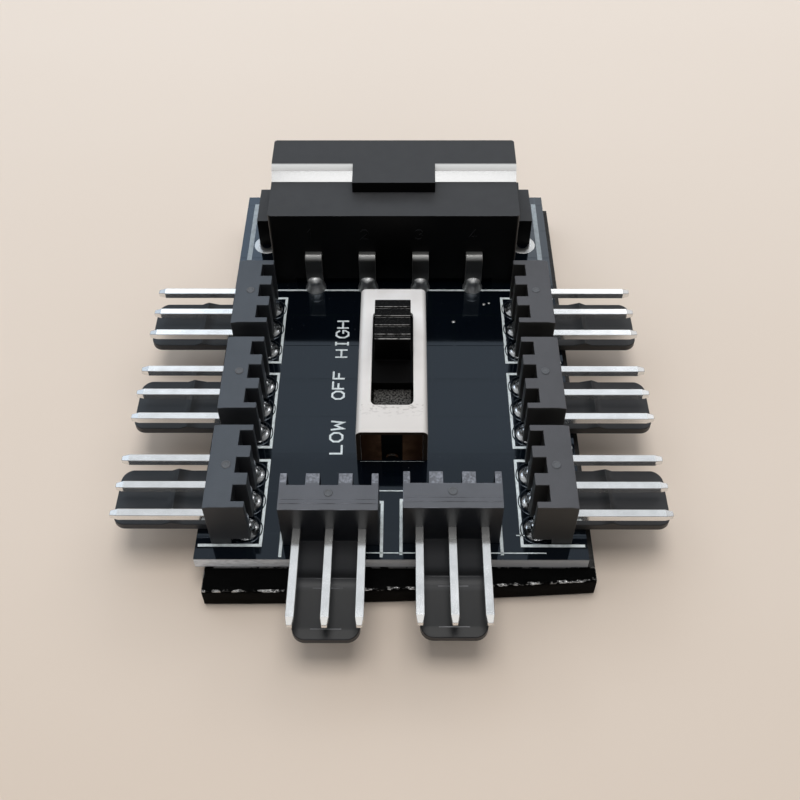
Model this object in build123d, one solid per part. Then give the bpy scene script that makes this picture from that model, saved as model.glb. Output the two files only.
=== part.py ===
"""Eight-way fan hub on a small circuit board.

A glossy board rests on a foam pad. Eight right-angle three-pin fan headers look
outwards over three of its edges, a four-pin power socket looks out over the back
edge, and a three-position slide switch sits in the middle. Millimetres, +Z up,
the front edge of the board at -Y, the origin under the middle of the outline.
"""
import math
import os

from build123d import *

# Board, and the pad that it is stuck on
BOARD_WIDTH = 31.0
BOARD_DEPTH = 42.4
BOARD_THICKNESS = 1.2
FOAM_THICKNESS = 2.0
FILM_THICKNESS = 0.1
PAD_LEFT_INSET = 0.75
PAD_RIGHT_OVERHANG = 0.6
PAD_FRONT_LEFT_OVERHANG = 2.1
PAD_FRONT_RIGHT_OVERHANG = 1.1
PAD_FRONT_BOW = 0.25
PAD_BACK_INSET = 0.8
PAD_POCKET_GAP = 0.15

# Fan header: body
HEADER_PINS = 3
HEADER_PIN_SPACING = 2.54
HEADER_DEPTH = 3.18
HEADER_HEIGHT = 5.42
NOTCH_DEPTH = 1.05
NOTCH_WIDTH = 1.45
TOP_BEVEL_RUN = 0.62
TOP_BEVEL_DROP = 0.12

# Fan header: locking tongue under the pins
TONGUE_WIDTH = 5.08
TONGUE_REACH = 8.05
TONGUE_THICKNESS = 0.7
TONGUE_CORNER = 1.0
TONGUE_TIP_RUN = 0.85
TONGUE_TIP_DROP = 0.1
LATCH_START = 2.3
LATCH_PEAK = 3.35
LATCH_END = 3.97
LATCH_RISE = 0.3

# Fan header: pins
PIN_WIDTH = 0.64
PIN_HEIGHT = 2.25
PIN_REACH = 7.8
PIN_TIP_LENGTH = 0.6
PIN_TIP_WIDTH = 0.42
PIN_BEND_RADIUS = 0.7
BEND_STEPS = 3
PIN_TAIL_GAP = 0.22
TAIL_LENGTH = 0.95

# Solder and plated holes
FAN_HOLE_DIAMETER = 1.05
FAN_SOLDER_RADIUS = 0.95
SOLDER_CROWN_RADIUS = 0.5
SOLDER_HEIGHT = 0.55
SOLDER_RELIEF = 0.1
HOLE_SIDES = 8

# Where the fan headers stand, measured from the edges of the board
SIDE_HEADERS = 3
SIDE_SETBACK = 1.25
SIDE_FIRST = 5.2
SIDE_SPACING = 9.3
FRONT_SPACING = 9.5
FRONT_LEFT_SETBACK = 1.25
FRONT_RIGHT_SETBACK = 1.45

# Power socket: housing
SOCKET_SETBACK = 2.5
SOCKET_LENGTH = 10.05
SOCKET_WIDTH = 23.2
BLOCK_HEIGHT = 8.9
CROWN_RISE = 1.2
CROWN_LENGTH = 4.2
CROWN_SLOPE_RUN = 1.1
CROWN_ROUND = 1.4
CROWN_BACK_STEP = 0.55
STEM_WIDTH = 7.75
STEM_LENGTH = 6.8
EAR_WIDTH = 2.05
EAR_HEIGHT = 3.3
EAR_LENGTH = 4.7
GUSSET_WIDTH = 0.95
GUSSET_RISE = 0.95
PEG_DIAMETER = 1.6
PEG_LENGTH = 1.8
PEG_CLEARANCE = 0.1
SOCKET_ROUND = 0.3

# Power socket: mouth and contacts
MOUTH_WIDTH = 20.7
MOUTH_HEIGHT = 6.6
MOUTH_DEPTH = 8.0
MOUTH_FLOOR = 1.3
MOUTH_CORNER = 2.0
POWER_PINS = 4
POWER_PIN_SPACING = 5.08
POWER_PIN_DIAMETER = 2.1
POWER_PIN_INSET = 1.1
POWER_PIN_NOSE = 0.7
POWER_PIN_NECK = 0.5
POWER_TAIL_WIDTH = 1.57
POWER_TAIL_THICKNESS = 0.6
POWER_TAIL_HEIGHT = 4.3
POWER_TAIL_REACH = 0.85
POWER_HOLE_DIAMETER = 1.8
POWER_SOLDER_RADIUS = 1.2
POWER_CROWN_RADIUS = 0.9

# Slide switch: folded steel cover
SWITCH_SETBACK = 9.2
SWITCH_LENGTH = 16.0
SWITCH_WIDTH = 5.94
SWITCH_HEIGHT = 4.07
COVER_THICKNESS = 0.4
COVER_BEND_RADIUS = 0.5
SLOT_LENGTH = 10.4
SLOT_WIDTH = 3.58
SLOT_CORNER = 0.5
TAB_WIDTH = 2.0
TAB_LENGTH = 0.9
TAB_SPACING = 10.0

# Slide switch: moulded base
FIT_GAP = 0.03
BASE_DECK = 2.45
BASE_SIDE_WALL = 0.24
BASE_END_WALL = 0.4
TROUGH_FLOOR = 1.2
TROUGH_WIDTH = 0.7
TROUGH_SPACING = 3.9
KEYWAY_WIDTH = 1.65
KEYWAY_HEIGHT = 2.5
KEYWAY_DEPTH = 0.3
KEYWAY_BOSS_RADIUS = 0.55
KEYWAY_BOSS_LENGTH = 0.2

# Slide switch: terminals
TERMINAL_SPACING = 2.5
TERMINALS_PER_ROW = 4
TERMINAL_HEAD_WIDTH = 0.5
TERMINAL_HEAD_LENGTH = 1.0
TERMINAL_HEAD_RISE = 0.3
TERMINAL_LEG_WIDTH = 0.6
TERMINAL_LEG_THICKNESS = 0.4
TERMINAL_HOLE_DIAMETER = 0.9
TERMINAL_SOLDER_RADIUS = 0.8

# Slide switch: slider and the two bridges that it carries
SLIDE_GAP = 0.1
CEILING_GAP = 0.2
PLATE_LENGTH = 9.9
KNOB_WIDTH = 3.15
KNOB_SHIFT = -0.1
KNOB_LENGTH = 4.65
KNOB_RISE = 2.13
KNOB_FRONT_ROUND = 0.25
GRIP_GROOVES = 4
GRIP_SPACING = 1.06
GRIP_GROOVE_WIDTH = 0.3
GRIP_GROOVE_DEPTH = 0.16
GRIP_NEAR_LAND = 0.35
BRIDGE_LENGTH = 3.6
BRIDGE_WIDTH = 0.5
BRIDGE_THICKNESS = 0.25
BRIDGE_GAP = 0.05

# Levels and edges that follow from the sizes above
PAD_TOP = FILM_THICKNESS + FOAM_THICKNESS
BOARD_TOP = PAD_TOP + BOARD_THICKNESS
FRONT_REACH = max(TONGUE_REACH - min(FRONT_LEFT_SETBACK, FRONT_RIGHT_SETBACK), PAD_FRONT_LEFT_OVERHANG)
FRONT_EDGE = (FRONT_REACH - BOARD_DEPTH) / 2
BACK_EDGE = FRONT_EDGE + BOARD_DEPTH
HEADER_WIDTH = HEADER_PINS * HEADER_PIN_SPACING
TAIL_SETBACK = HEADER_DEPTH - NOTCH_DEPTH + PIN_TAIL_GAP + PIN_WIDTH / 2
SOCKET_MOUTH = BACK_EDGE - SOCKET_SETBACK
SOCKET_REAR = SOCKET_MOUTH - SOCKET_LENGTH
MOUTH_BACK = SOCKET_MOUTH - MOUTH_DEPTH
MOUTH_AXIS = MOUTH_FLOOR + MOUTH_HEIGHT / 2
POWER_TAIL_AXIS = SOCKET_REAR - POWER_TAIL_REACH + POWER_TAIL_THICKNESS / 2
SWITCH_MIDDLE = FRONT_EDGE + SWITCH_SETBACK + SWITCH_LENGTH / 2
COVER_INSIDE = SWITCH_WIDTH / 2 - COVER_THICKNESS
COVER_CEILING = SWITCH_HEIGHT - COVER_THICKNESS
SLIDER_MIDDLE = SWITCH_MIDDLE + TERMINAL_SPACING
TERMINAL_TOP = TROUGH_FLOOR + TERMINAL_HEAD_RISE
BRIDGE_BOTTOM = TERMINAL_TOP + BRIDGE_GAP
PLATE_TOP = COVER_CEILING - CEILING_GAP
PLATE_BOTTOM = BASE_DECK + SLIDE_GAP
TAIL_DROP = BOARD_THICKNESS + TAIL_LENGTH


def block(x0, x1, y0, y1, z0, z1):
    """A box between three pairs of limits."""
    return Pos((x0 + x1) / 2, (y0 + y1) / 2, (z0 + z1) / 2) * Box(x1 - x0, y1 - y0, z1 - z0)


def side_profile(points, width):
    """Points in the XZ plane, drawn out to both sides of it."""
    face = make_face(Plane.XZ * Polyline(*points, close=True))
    return extrude(face, width / 2, both=True)


def spread(count, pitch):
    """Places of a row of pieces about its middle."""
    return [(index - (count - 1) / 2) * pitch for index in range(count)]


def quarter_turn(centre_x, centre_z, radius):
    """Points round a quarter turn, from straight up to straight back."""
    angles = [math.radians(90 + 90 * step / BEND_STEPS) for step in range(BEND_STEPS + 1)]
    return [(centre_x + radius * math.cos(a), centre_z + radius * math.sin(a)) for a in angles]


def fan_pin():
    """Square pin: out along +X, bent down behind the wall, with its tail through the board."""
    half = PIN_WIDTH / 2
    centre_x = PIN_BEND_RADIUS - TAIL_SETBACK
    centre_z = PIN_HEIGHT - PIN_BEND_RADIUS
    shank_end = PIN_REACH - PIN_TIP_LENGTH
    outer = quarter_turn(centre_x, centre_z, PIN_BEND_RADIUS + half)
    inner = quarter_turn(centre_x, centre_z, PIN_BEND_RADIUS - half)
    tail = [(-TAIL_SETBACK - half, -TAIL_DROP), (-TAIL_SETBACK + half, -TAIL_DROP)]
    shank_face = [(shank_end, PIN_HEIGHT - half), (shank_end, PIN_HEIGHT + half)]
    shank = side_profile(outer + tail + inner[::-1] + shank_face, PIN_WIDTH)
    root = Plane((shank_end, 0, PIN_HEIGHT), x_dir=(0, 1, 0), z_dir=(1, 0, 0))
    taper = math.degrees(math.atan2(half - PIN_TIP_WIDTH / 2, PIN_TIP_LENGTH))
    return shank + extrude(root * Rectangle(PIN_WIDTH, PIN_WIDTH), PIN_TIP_LENGTH, taper=taper)


def fan_tongue():
    """Locking tongue with its latch ramp and rounded tip."""
    tip_top = TONGUE_THICKNESS - TONGUE_TIP_DROP
    tongue = side_profile(
        [
            (-HEADER_DEPTH / 2, 0),
            (TONGUE_REACH, 0),
            (TONGUE_REACH, tip_top),
            (TONGUE_REACH - TONGUE_TIP_RUN, TONGUE_THICKNESS),
            (LATCH_END, TONGUE_THICKNESS),
            (LATCH_PEAK, TONGUE_THICKNESS + LATCH_RISE),
            (LATCH_START, TONGUE_THICKNESS),
            (-HEADER_DEPTH / 2, TONGUE_THICKNESS),
        ],
        TONGUE_WIDTH,
    )
    tip_corners = tongue.edges().filter_by(Axis.Z).group_by(Axis.X)[-1]
    return fillet(tip_corners, TONGUE_CORNER)


def fan_body():
    """Header moulding: a wall with a castellated back, a tongue and three square holes."""
    wall = side_profile(
        [
            (-HEADER_DEPTH, 0),
            (0, 0),
            (0, HEADER_HEIGHT - TOP_BEVEL_DROP),
            (-TOP_BEVEL_RUN, HEADER_HEIGHT),
            (-HEADER_DEPTH, HEADER_HEIGHT),
        ],
        HEADER_WIDTH,
    )
    notch = Box(2 * NOTCH_DEPTH, NOTCH_WIDTH, 3 * HEADER_HEIGHT)
    for y in spread(HEADER_PINS, HEADER_PIN_SPACING):
        wall -= Pos(-HEADER_DEPTH, y, 0) * notch
    relief_front = FAN_SOLDER_RADIUS + SOLDER_RELIEF - TAIL_SETBACK
    relief_top = SOLDER_HEIGHT + SOLDER_RELIEF
    body = wall + fan_tongue()
    body -= block(-2 * HEADER_DEPTH, relief_front, -HEADER_WIDTH, HEADER_WIDTH, -relief_top, relief_top)
    for y in spread(HEADER_PINS, HEADER_PIN_SPACING):
        body -= Pos(0, y, 0) * fan_pin()
    return body


def round_cut(radius, height):
    """Upright prism of few sides for a plated hole or the solder in it, centred on the origin."""
    return extrude(RegularPolygon(radius, HOLE_SIDES), height / 2, both=True)


def solder_cone(foot, crown):
    """Cone of solder that stands on the board round a tail."""
    run = (foot - crown) * math.cos(math.pi / HOLE_SIDES)
    taper = math.degrees(math.atan2(run, SOLDER_HEIGHT))
    return extrude(RegularPolygon(foot, HOLE_SIDES), SOLDER_HEIGHT, taper=taper)


def solder_joint(foot, crown, hole, tail, top_side=True):
    """Solder round a tail: a barrel in the plated hole and a cone on each side it wets."""
    joint = Pos(0, 0, -BOARD_THICKNESS / 2) * round_cut(hole / 2, BOARD_THICKNESS)
    joint += Pos(0, 0, -BOARD_THICKNESS) * Rot(180, 0, 0) * solder_cone(foot, crown)
    if top_side:
        joint += solder_cone(foot, crown)
    return joint - tail


def header_places():
    """Name and location of each fan header, at the foot of its outward face."""
    places = {}
    for row in range(SIDE_HEADERS):
        y = FRONT_EDGE + SIDE_FIRST + row * SIDE_SPACING
        x = BOARD_WIDTH / 2 - SIDE_SETBACK
        places[f"left_{row + 1}"] = Pos(-x, y, BOARD_TOP) * Rot(0, 0, 180)
        places[f"right_{row + 1}"] = Pos(x, y, BOARD_TOP)
    for name, side, setback in (("front_left", -1, FRONT_LEFT_SETBACK), ("front_right", 1, FRONT_RIGHT_SETBACK)):
        places[name] = Pos(side * FRONT_SPACING / 2, FRONT_EDGE + setback, BOARD_TOP) * Rot(0, 0, -90)
    return places


def power_contact():
    """Round power pin with a flat tail that turns down through the board, at X 0."""
    pin_end = SOCKET_MOUTH - POWER_PIN_INSET
    pin_root = MOUTH_BACK + POWER_PIN_NECK
    pin = Cylinder(POWER_PIN_DIAMETER / 2, pin_end - pin_root)
    pin = chamfer(pin.edges().group_by(Axis.Z)[-1], POWER_PIN_NOSE)
    pin = Pos(0, (pin_end + pin_root) / 2, MOUTH_AXIS) * Rot(-90, 0, 0) * pin
    far = SOCKET_REAR - POWER_TAIL_REACH
    top = POWER_TAIL_HEIGHT
    half_tail = POWER_TAIL_WIDTH / 2
    tail = block(-half_tail, half_tail, far, pin_root, -TAIL_DROP, top)
    tail -= block(
        -POWER_TAIL_WIDTH,
        POWER_TAIL_WIDTH,
        far + POWER_TAIL_THICKNESS,
        SOCKET_MOUTH,
        -2 * TAIL_DROP,
        top - POWER_TAIL_THICKNESS,
    )
    bend = tail.edges().filter_by(Axis.X).group_by(Axis.Z)[-1].sort_by(Axis.Y)[0]
    return pin + fillet(bend, POWER_TAIL_THICKNESS)


def power_housing(contacts):
    """Socket moulding: rear block, raised T crown, ears and pegs round an open mouth."""
    half = SOCKET_WIDTH / 2
    crown_top = BLOCK_HEIGHT + CROWN_RISE
    crown_foot = SOCKET_MOUTH - CROWN_LENGTH - CROWN_SLOPE_RUN
    crown_back = SOCKET_MOUTH - CROWN_BACK_STEP
    outline = Polyline(
        (SOCKET_REAR, 0),
        (SOCKET_MOUTH, 0),
        (SOCKET_MOUTH, BLOCK_HEIGHT),
        (crown_back, BLOCK_HEIGHT),
        (crown_back, crown_top),
        (SOCKET_MOUTH - CROWN_LENGTH, crown_top),
        (crown_foot, BLOCK_HEIGHT),
        (SOCKET_REAR, BLOCK_HEIGHT),
        close=True,
    )
    body = extrude(make_face(Plane.YZ * outline), half, both=True)
    shoulder = body.edges().filter_by(Axis.X).group_by(Axis.Z)[-1].sort_by(Axis.Y)[0]
    body = fillet(shoulder, CROWN_ROUND)
    uprights = body.edges().filter_by(Axis.Z)
    body = fillet(uprights, SOCKET_ROUND)
    stem_near = SOCKET_MOUTH - STEM_LENGTH
    body += block(
        -STEM_WIDTH / 2, STEM_WIDTH / 2, stem_near, SOCKET_MOUTH - CROWN_LENGTH / 2, BLOCK_HEIGHT / 2, crown_top
    )
    ear = half + EAR_WIDTH
    ear_near = SOCKET_MOUTH - EAR_LENGTH
    body += block(-ear, ear, ear_near, SOCKET_MOUTH, 0, EAR_HEIGHT)
    gusset = Polyline(
        (ear_near, EAR_HEIGHT), (SOCKET_MOUTH, EAR_HEIGHT), (SOCKET_MOUTH, EAR_HEIGHT + GUSSET_RISE), close=True
    )
    body += extrude(make_face(Plane.YZ * gusset), half + GUSSET_WIDTH, both=True)
    for side in (-1, 1):
        body += Pos(side * peg_x(), peg_y(), -PEG_LENGTH / 2) * Cylinder(PEG_DIAMETER / 2, PEG_LENGTH)
    mouth = Pos(0, SOCKET_MOUTH, MOUTH_AXIS) * Box(MOUTH_WIDTH, 2 * MOUTH_DEPTH, MOUTH_HEIGHT)
    mouth = chamfer(mouth.edges().filter_by(Axis.Y).group_by(Axis.Z)[0], MOUTH_CORNER)
    body -= mouth
    relief = POWER_SOLDER_RADIUS + SOLDER_RELIEF + POWER_TAIL_AXIS
    relief_top = SOLDER_HEIGHT + SOLDER_RELIEF
    half_row = half - EAR_WIDTH
    body -= block(-half_row, half_row, SOCKET_REAR - relief_top, relief, -relief_top, relief_top)
    for contact in contacts:
        body -= contact
    return body


def peg_x():
    """Distance of a socket peg from the middle, halfway across its ear."""
    return (SOCKET_WIDTH + EAR_WIDTH) / 2


def peg_y():
    """Place of a socket peg along the socket, under its ear."""
    return SOCKET_MOUTH - EAR_LENGTH + PEG_DIAMETER


def switch_cover():
    """Folded steel cover: a channel with a slot on top and four tabs turned under the base."""
    half = SWITCH_WIDTH / 2
    shell = Pos(0, SWITCH_MIDDLE, SWITCH_HEIGHT / 2) * Box(SWITCH_WIDTH, SWITCH_LENGTH, SWITCH_HEIGHT)
    shell = fillet(shell.edges().filter_by(Axis.Y).group_by(Axis.Z)[-1], COVER_BEND_RADIUS)
    shell -= block(
        -COVER_INSIDE,
        COVER_INSIDE,
        SWITCH_MIDDLE - SWITCH_LENGTH,
        SWITCH_MIDDLE + SWITCH_LENGTH,
        -COVER_CEILING,
        COVER_CEILING,
    )
    slot = Pos(0, SWITCH_MIDDLE, SWITCH_HEIGHT) * Box(SLOT_WIDTH, SLOT_LENGTH, SWITCH_HEIGHT)
    slot = fillet(slot.edges().filter_by(Axis.Z), SLOT_CORNER)
    shell -= slot
    for side in (-1, 1):
        for y in (-TAB_SPACING / 2, TAB_SPACING / 2):
            reach = sorted((side * half, side * (half - TAB_LENGTH)))
            shell += block(
                *reach, SWITCH_MIDDLE + y - TAB_WIDTH / 2, SWITCH_MIDDLE + y + TAB_WIDTH / 2, 0, COVER_THICKNESS
            )
    return shell


def switch_base(terminals):
    """Moulded base: a deck with two troughs, walls to the cover and a keyway at each end."""
    half_width = COVER_INSIDE - FIT_GAP
    half_length = SWITCH_LENGTH / 2 - FIT_GAP
    base = block(
        -half_width, half_width, SWITCH_MIDDLE - half_length, SWITCH_MIDDLE + half_length, 0, COVER_CEILING
    )
    inside = half_width - BASE_SIDE_WALL
    run = half_length - BASE_END_WALL
    base -= block(-inside, inside, SWITCH_MIDDLE - run, SWITCH_MIDDLE + run, BASE_DECK, 2 * SWITCH_HEIGHT)
    trough_half = BRIDGE_LENGTH / 2 + TERMINAL_SPACING + TROUGH_WIDTH / 2
    trough = block(-TROUGH_WIDTH / 2, TROUGH_WIDTH / 2, -trough_half, trough_half, TROUGH_FLOOR, SWITCH_HEIGHT)
    for side in (-1, 1):
        base -= Pos(side * TROUGH_SPACING / 2, SWITCH_MIDDLE, 0) * trough
        face = SWITCH_MIDDLE + side * half_length
        ends = sorted((face, face - side * KEYWAY_DEPTH))
        base -= block(-KEYWAY_WIDTH / 2, KEYWAY_WIDTH / 2, *ends, -KEYWAY_HEIGHT, KEYWAY_HEIGHT)
        for y in (-TAB_SPACING / 2, TAB_SPACING / 2):
            reach = sorted((side * SWITCH_WIDTH, side * (SWITCH_WIDTH / 2 - TAB_LENGTH - FIT_GAP)))
            tab_half = TAB_WIDTH / 2 + FIT_GAP
            recess_top = COVER_THICKNESS + FIT_GAP
            base -= block(
                *reach, SWITCH_MIDDLE + y - tab_half, SWITCH_MIDDLE + y + tab_half, -recess_top, recess_top
            )
    for side in (-1, 1):
        root = SWITCH_MIDDLE + side * (half_length - KEYWAY_DEPTH)
        boss = Rot(90, 0, 0) * Cylinder(KEYWAY_BOSS_RADIUS, 2 * KEYWAY_BOSS_LENGTH)
        upper_half = Pos(0, 0, SWITCH_LENGTH / 2) * Box(SWITCH_LENGTH, SWITCH_LENGTH, SWITCH_LENGTH)
        base += Pos(0, root, 0) * (boss & upper_half)
    for terminal in terminals:
        base -= terminal
    return base


def terminal_places():
    """Name and centre of each switch terminal."""
    places = {}
    for name, side in (("left", -1), ("right", 1)):
        for number, y in enumerate(spread(TERMINALS_PER_ROW, TERMINAL_SPACING), 1):
            places[f"{name}_{number}"] = (side * TROUGH_SPACING / 2, SWITCH_MIDDLE + y)
    return places


def switch_terminal(x, y):
    """Flat-headed terminal whose leg goes through the base and the board."""
    head = block(
        x - TERMINAL_HEAD_WIDTH / 2,
        x + TERMINAL_HEAD_WIDTH / 2,
        y - TERMINAL_HEAD_LENGTH / 2,
        y + TERMINAL_HEAD_LENGTH / 2,
        TROUGH_FLOOR,
        TERMINAL_TOP,
    )
    return head + terminal_leg(x, y)


def terminal_leg(x, y):
    """Leg of a switch terminal."""
    return block(
        x - TERMINAL_LEG_THICKNESS / 2,
        x + TERMINAL_LEG_THICKNESS / 2,
        y - TERMINAL_LEG_WIDTH / 2,
        y + TERMINAL_LEG_WIDTH / 2,
        -TAIL_DROP,
        TROUGH_FLOOR,
    )


def switch_slider():
    """Slider: a plate under the cover, a grooved knob above it and two legs over the bridges."""
    knob_top = SWITCH_HEIGHT + KNOB_RISE
    plate_half = COVER_INSIDE - FIT_GAP - BASE_SIDE_WALL - SLIDE_GAP
    ends = (SLIDER_MIDDLE - PLATE_LENGTH / 2, SLIDER_MIDDLE + PLATE_LENGTH / 2)
    slider = block(-plate_half, plate_half, *ends, PLATE_BOTTOM, PLATE_TOP)
    leg = Box(BRIDGE_WIDTH, BRIDGE_LENGTH, PLATE_BOTTOM - BRIDGE_BOTTOM - BRIDGE_THICKNESS)
    leg_middle = (PLATE_BOTTOM + BRIDGE_BOTTOM + BRIDGE_THICKNESS) / 2
    for side in (-1, 1):
        slider += Pos(side * TROUGH_SPACING / 2, SLIDER_MIDDLE, leg_middle) * leg
    near = SLIDER_MIDDLE - KNOB_LENGTH / 2
    far = SLIDER_MIDDLE + KNOB_LENGTH / 2
    outline = [(near, PLATE_TOP), (near, knob_top)]
    for groove in range(GRIP_GROOVES):
        start = near + GRIP_NEAR_LAND + groove * GRIP_SPACING
        outline.append((start, knob_top))
        outline.append((start + GRIP_GROOVE_WIDTH / 2, knob_top - GRIP_GROOVE_DEPTH))
        outline.append((start + GRIP_GROOVE_WIDTH, knob_top))
    outline += [(far, knob_top), (far, PLATE_TOP)]
    side = Pos(KNOB_SHIFT, 0, 0) * Plane.YZ
    knob = extrude(make_face(side * Polyline(*outline, close=True)), KNOB_WIDTH / 2, both=True)
    brow = knob.edges().filter_by(Axis.X).group_by(Axis.Z)[-1].sort_by(Axis.Y)[0]
    return slider + fillet(brow, KNOB_FRONT_ROUND)


def switch_bridge(side):
    """Sliding contact that joins two neighbouring terminals of one row."""
    x = side * TROUGH_SPACING / 2
    return block(
        x - BRIDGE_WIDTH / 2,
        x + BRIDGE_WIDTH / 2,
        SLIDER_MIDDLE - BRIDGE_LENGTH / 2,
        SLIDER_MIDDLE + BRIDGE_LENGTH / 2,
        BRIDGE_BOTTOM,
        BRIDGE_BOTTOM + BRIDGE_THICKNESS,
    )


def circuit_board(places):
    """Board with a round hole for every tail, leg and peg."""
    board = block(-BOARD_WIDTH / 2, BOARD_WIDTH / 2, FRONT_EDGE, BACK_EDGE, PAD_TOP, BOARD_TOP)
    through = 4 * BOARD_THICKNESS
    fan_hole = Pos(-TAIL_SETBACK, 0, 0) * round_cut(FAN_HOLE_DIAMETER / 2, through)
    for place in places.values():
        for y in spread(HEADER_PINS, HEADER_PIN_SPACING):
            board -= place * Pos(0, y, 0) * fan_hole
    for x in spread(POWER_PINS, POWER_PIN_SPACING):
        hole = round_cut(POWER_HOLE_DIAMETER / 2, through)
        board -= Pos(x, POWER_TAIL_AXIS, BOARD_TOP) * hole
    for x, y in terminal_places().values():
        board -= Pos(x, y, BOARD_TOP) * round_cut(TERMINAL_HOLE_DIAMETER / 2, through)
    for side in (-1, 1):
        hole = Cylinder(PEG_DIAMETER / 2 + PEG_CLEARANCE, through)
        board -= Pos(side * peg_x(), peg_y(), BOARD_TOP) * hole
    return board


def pad_outline():
    """Outline of the pad, whose bowed front edge is cut askew and shows past the board."""
    left = -BOARD_WIDTH / 2 + PAD_LEFT_INSET
    right = BOARD_WIDTH / 2 + PAD_RIGHT_OVERHANG
    back = BACK_EDGE - PAD_BACK_INSET
    near_left = (left, FRONT_EDGE - PAD_FRONT_LEFT_OVERHANG)
    near_right = (right, FRONT_EDGE - PAD_FRONT_RIGHT_OVERHANG)
    bowed = ((left + right) / 2, (near_left[1] + near_right[1]) / 2 - PAD_FRONT_BOW)
    sides = Polyline(near_right, (right, back), (left, back), near_left)
    return make_face(ThreePointArc(near_left, bowed, near_right) + sides)


def foam_pad(places):
    """Foam with pockets for the tails and solder under the board."""
    foam = Pos(0, 0, FILM_THICKNESS) * extrude(pad_outline(), FOAM_THICKNESS)
    depth = max(TAIL_LENGTH, SOLDER_HEIGHT, PEG_LENGTH - BOARD_THICKNESS) + PAD_POCKET_GAP
    reach = FAN_SOLDER_RADIUS + PAD_POCKET_GAP
    row = (HEADER_PINS - 1) * HEADER_PIN_SPACING + 2 * reach
    for place in places.values():
        foam -= place * Pos(-TAIL_SETBACK, 0, -BOARD_THICKNESS) * Box(2 * reach, row, 2 * depth)
    reach = POWER_SOLDER_RADIUS + PAD_POCKET_GAP
    row = (POWER_PINS - 1) * POWER_PIN_SPACING + 2 * reach
    foam -= Pos(0, POWER_TAIL_AXIS, PAD_TOP) * Box(row, 2 * reach, 2 * depth)
    reach = TERMINAL_SOLDER_RADIUS + PAD_POCKET_GAP
    row = (TERMINALS_PER_ROW - 1) * TERMINAL_SPACING + 2 * reach
    for side in (-1, 1):
        foam -= Pos(side * TROUGH_SPACING / 2, SWITCH_MIDDLE, PAD_TOP) * Box(2 * reach, row, 2 * depth)
    for side in (-1, 1):
        pocket = Cylinder(PEG_DIAMETER / 2 + PAD_POCKET_GAP, 2 * depth)
        foam -= Pos(side * peg_x(), peg_y(), PAD_TOP) * pocket
    return foam


def build():
    """Every piece of the hub by node name, in the shared frame."""
    places = header_places()
    on_board = Pos(0, 0, BOARD_TOP)
    pieces = {
        "pad_release_film": extrude(pad_outline(), FILM_THICKNESS),
        "foam_pad": foam_pad(places),
        "circuit_board": circuit_board(places),
    }

    body = fan_body()
    pin = fan_pin()
    tail = Pos(TAIL_SETBACK, 0, 0) * pin
    joint = solder_joint(FAN_SOLDER_RADIUS, SOLDER_CROWN_RADIUS, FAN_HOLE_DIAMETER, tail)
    fan_solder = []
    for name, place in places.items():
        pieces[f"fan_header_{name}"] = place * body
        for number, y in enumerate(spread(HEADER_PINS, HEADER_PIN_SPACING), 1):
            pieces[f"fan_pin_{name}_{number}"] = place * Pos(0, y, 0) * pin
            fan_solder.append(place * Pos(-TAIL_SETBACK, y, 0) * joint)
    pieces["fan_solder_joints"] = Compound(children=fan_solder)

    contact = power_contact()
    xs = spread(POWER_PINS, POWER_PIN_SPACING)
    contacts = [Pos(x, 0, 0) * contact for x in xs]
    pieces["power_socket_housing"] = on_board * power_housing(contacts)
    for number, piece in enumerate(contacts, 1):
        pieces[f"power_contact_{number}"] = on_board * piece
    tail = Pos(0, -POWER_TAIL_AXIS, 0) * contact
    joint = solder_joint(POWER_SOLDER_RADIUS, POWER_CROWN_RADIUS, POWER_HOLE_DIAMETER, tail)
    pieces["power_solder_joints"] = Compound(
        children=[on_board * Pos(x, POWER_TAIL_AXIS, 0) * joint for x in xs]
    )

    terminals = {name: switch_terminal(x, y) for name, (x, y) in terminal_places().items()}
    pieces["switch_cover"] = on_board * switch_cover()
    pieces["switch_base"] = on_board * switch_base(terminals.values())
    pieces["switch_slider"] = on_board * switch_slider()
    pieces["switch_bridge_left"] = on_board * switch_bridge(-1)
    pieces["switch_bridge_right"] = on_board * switch_bridge(1)
    for name, terminal in terminals.items():
        pieces[f"switch_terminal_{name}"] = on_board * terminal
    joint = solder_joint(
        TERMINAL_SOLDER_RADIUS, SOLDER_CROWN_RADIUS, TERMINAL_HOLE_DIAMETER, terminal_leg(0, 0), top_side=False
    )
    pieces["switch_solder_joints"] = Compound(
        children=[on_board * Pos(x, y, 0) * joint for x, y in terminal_places().values()]
    )
    return pieces


def main():
    """Write one STEP file for each piece."""
    os.makedirs("parts", exist_ok=True)
    for name, piece in build().items():
        export_step(piece, f"parts/{name}.step")
        print(f"{name}: {piece.volume:.3f} mm3")


main()
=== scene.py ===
"""Fan hub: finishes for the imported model's pieces, their fine detail, and the studio round them.

Lengths in the code are millimetres in the board's own terms: X across the board, Y back from
its front edge, Z up from its top face. Helpers turn them into metres in the model's frame.
"""
import logging
import math
from dataclasses import dataclass
from enum import Enum
from functools import reduce
from typing import Any, Sequence

import bmesh
import bpy
from mathutils import Matrix, Vector, noise


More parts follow.
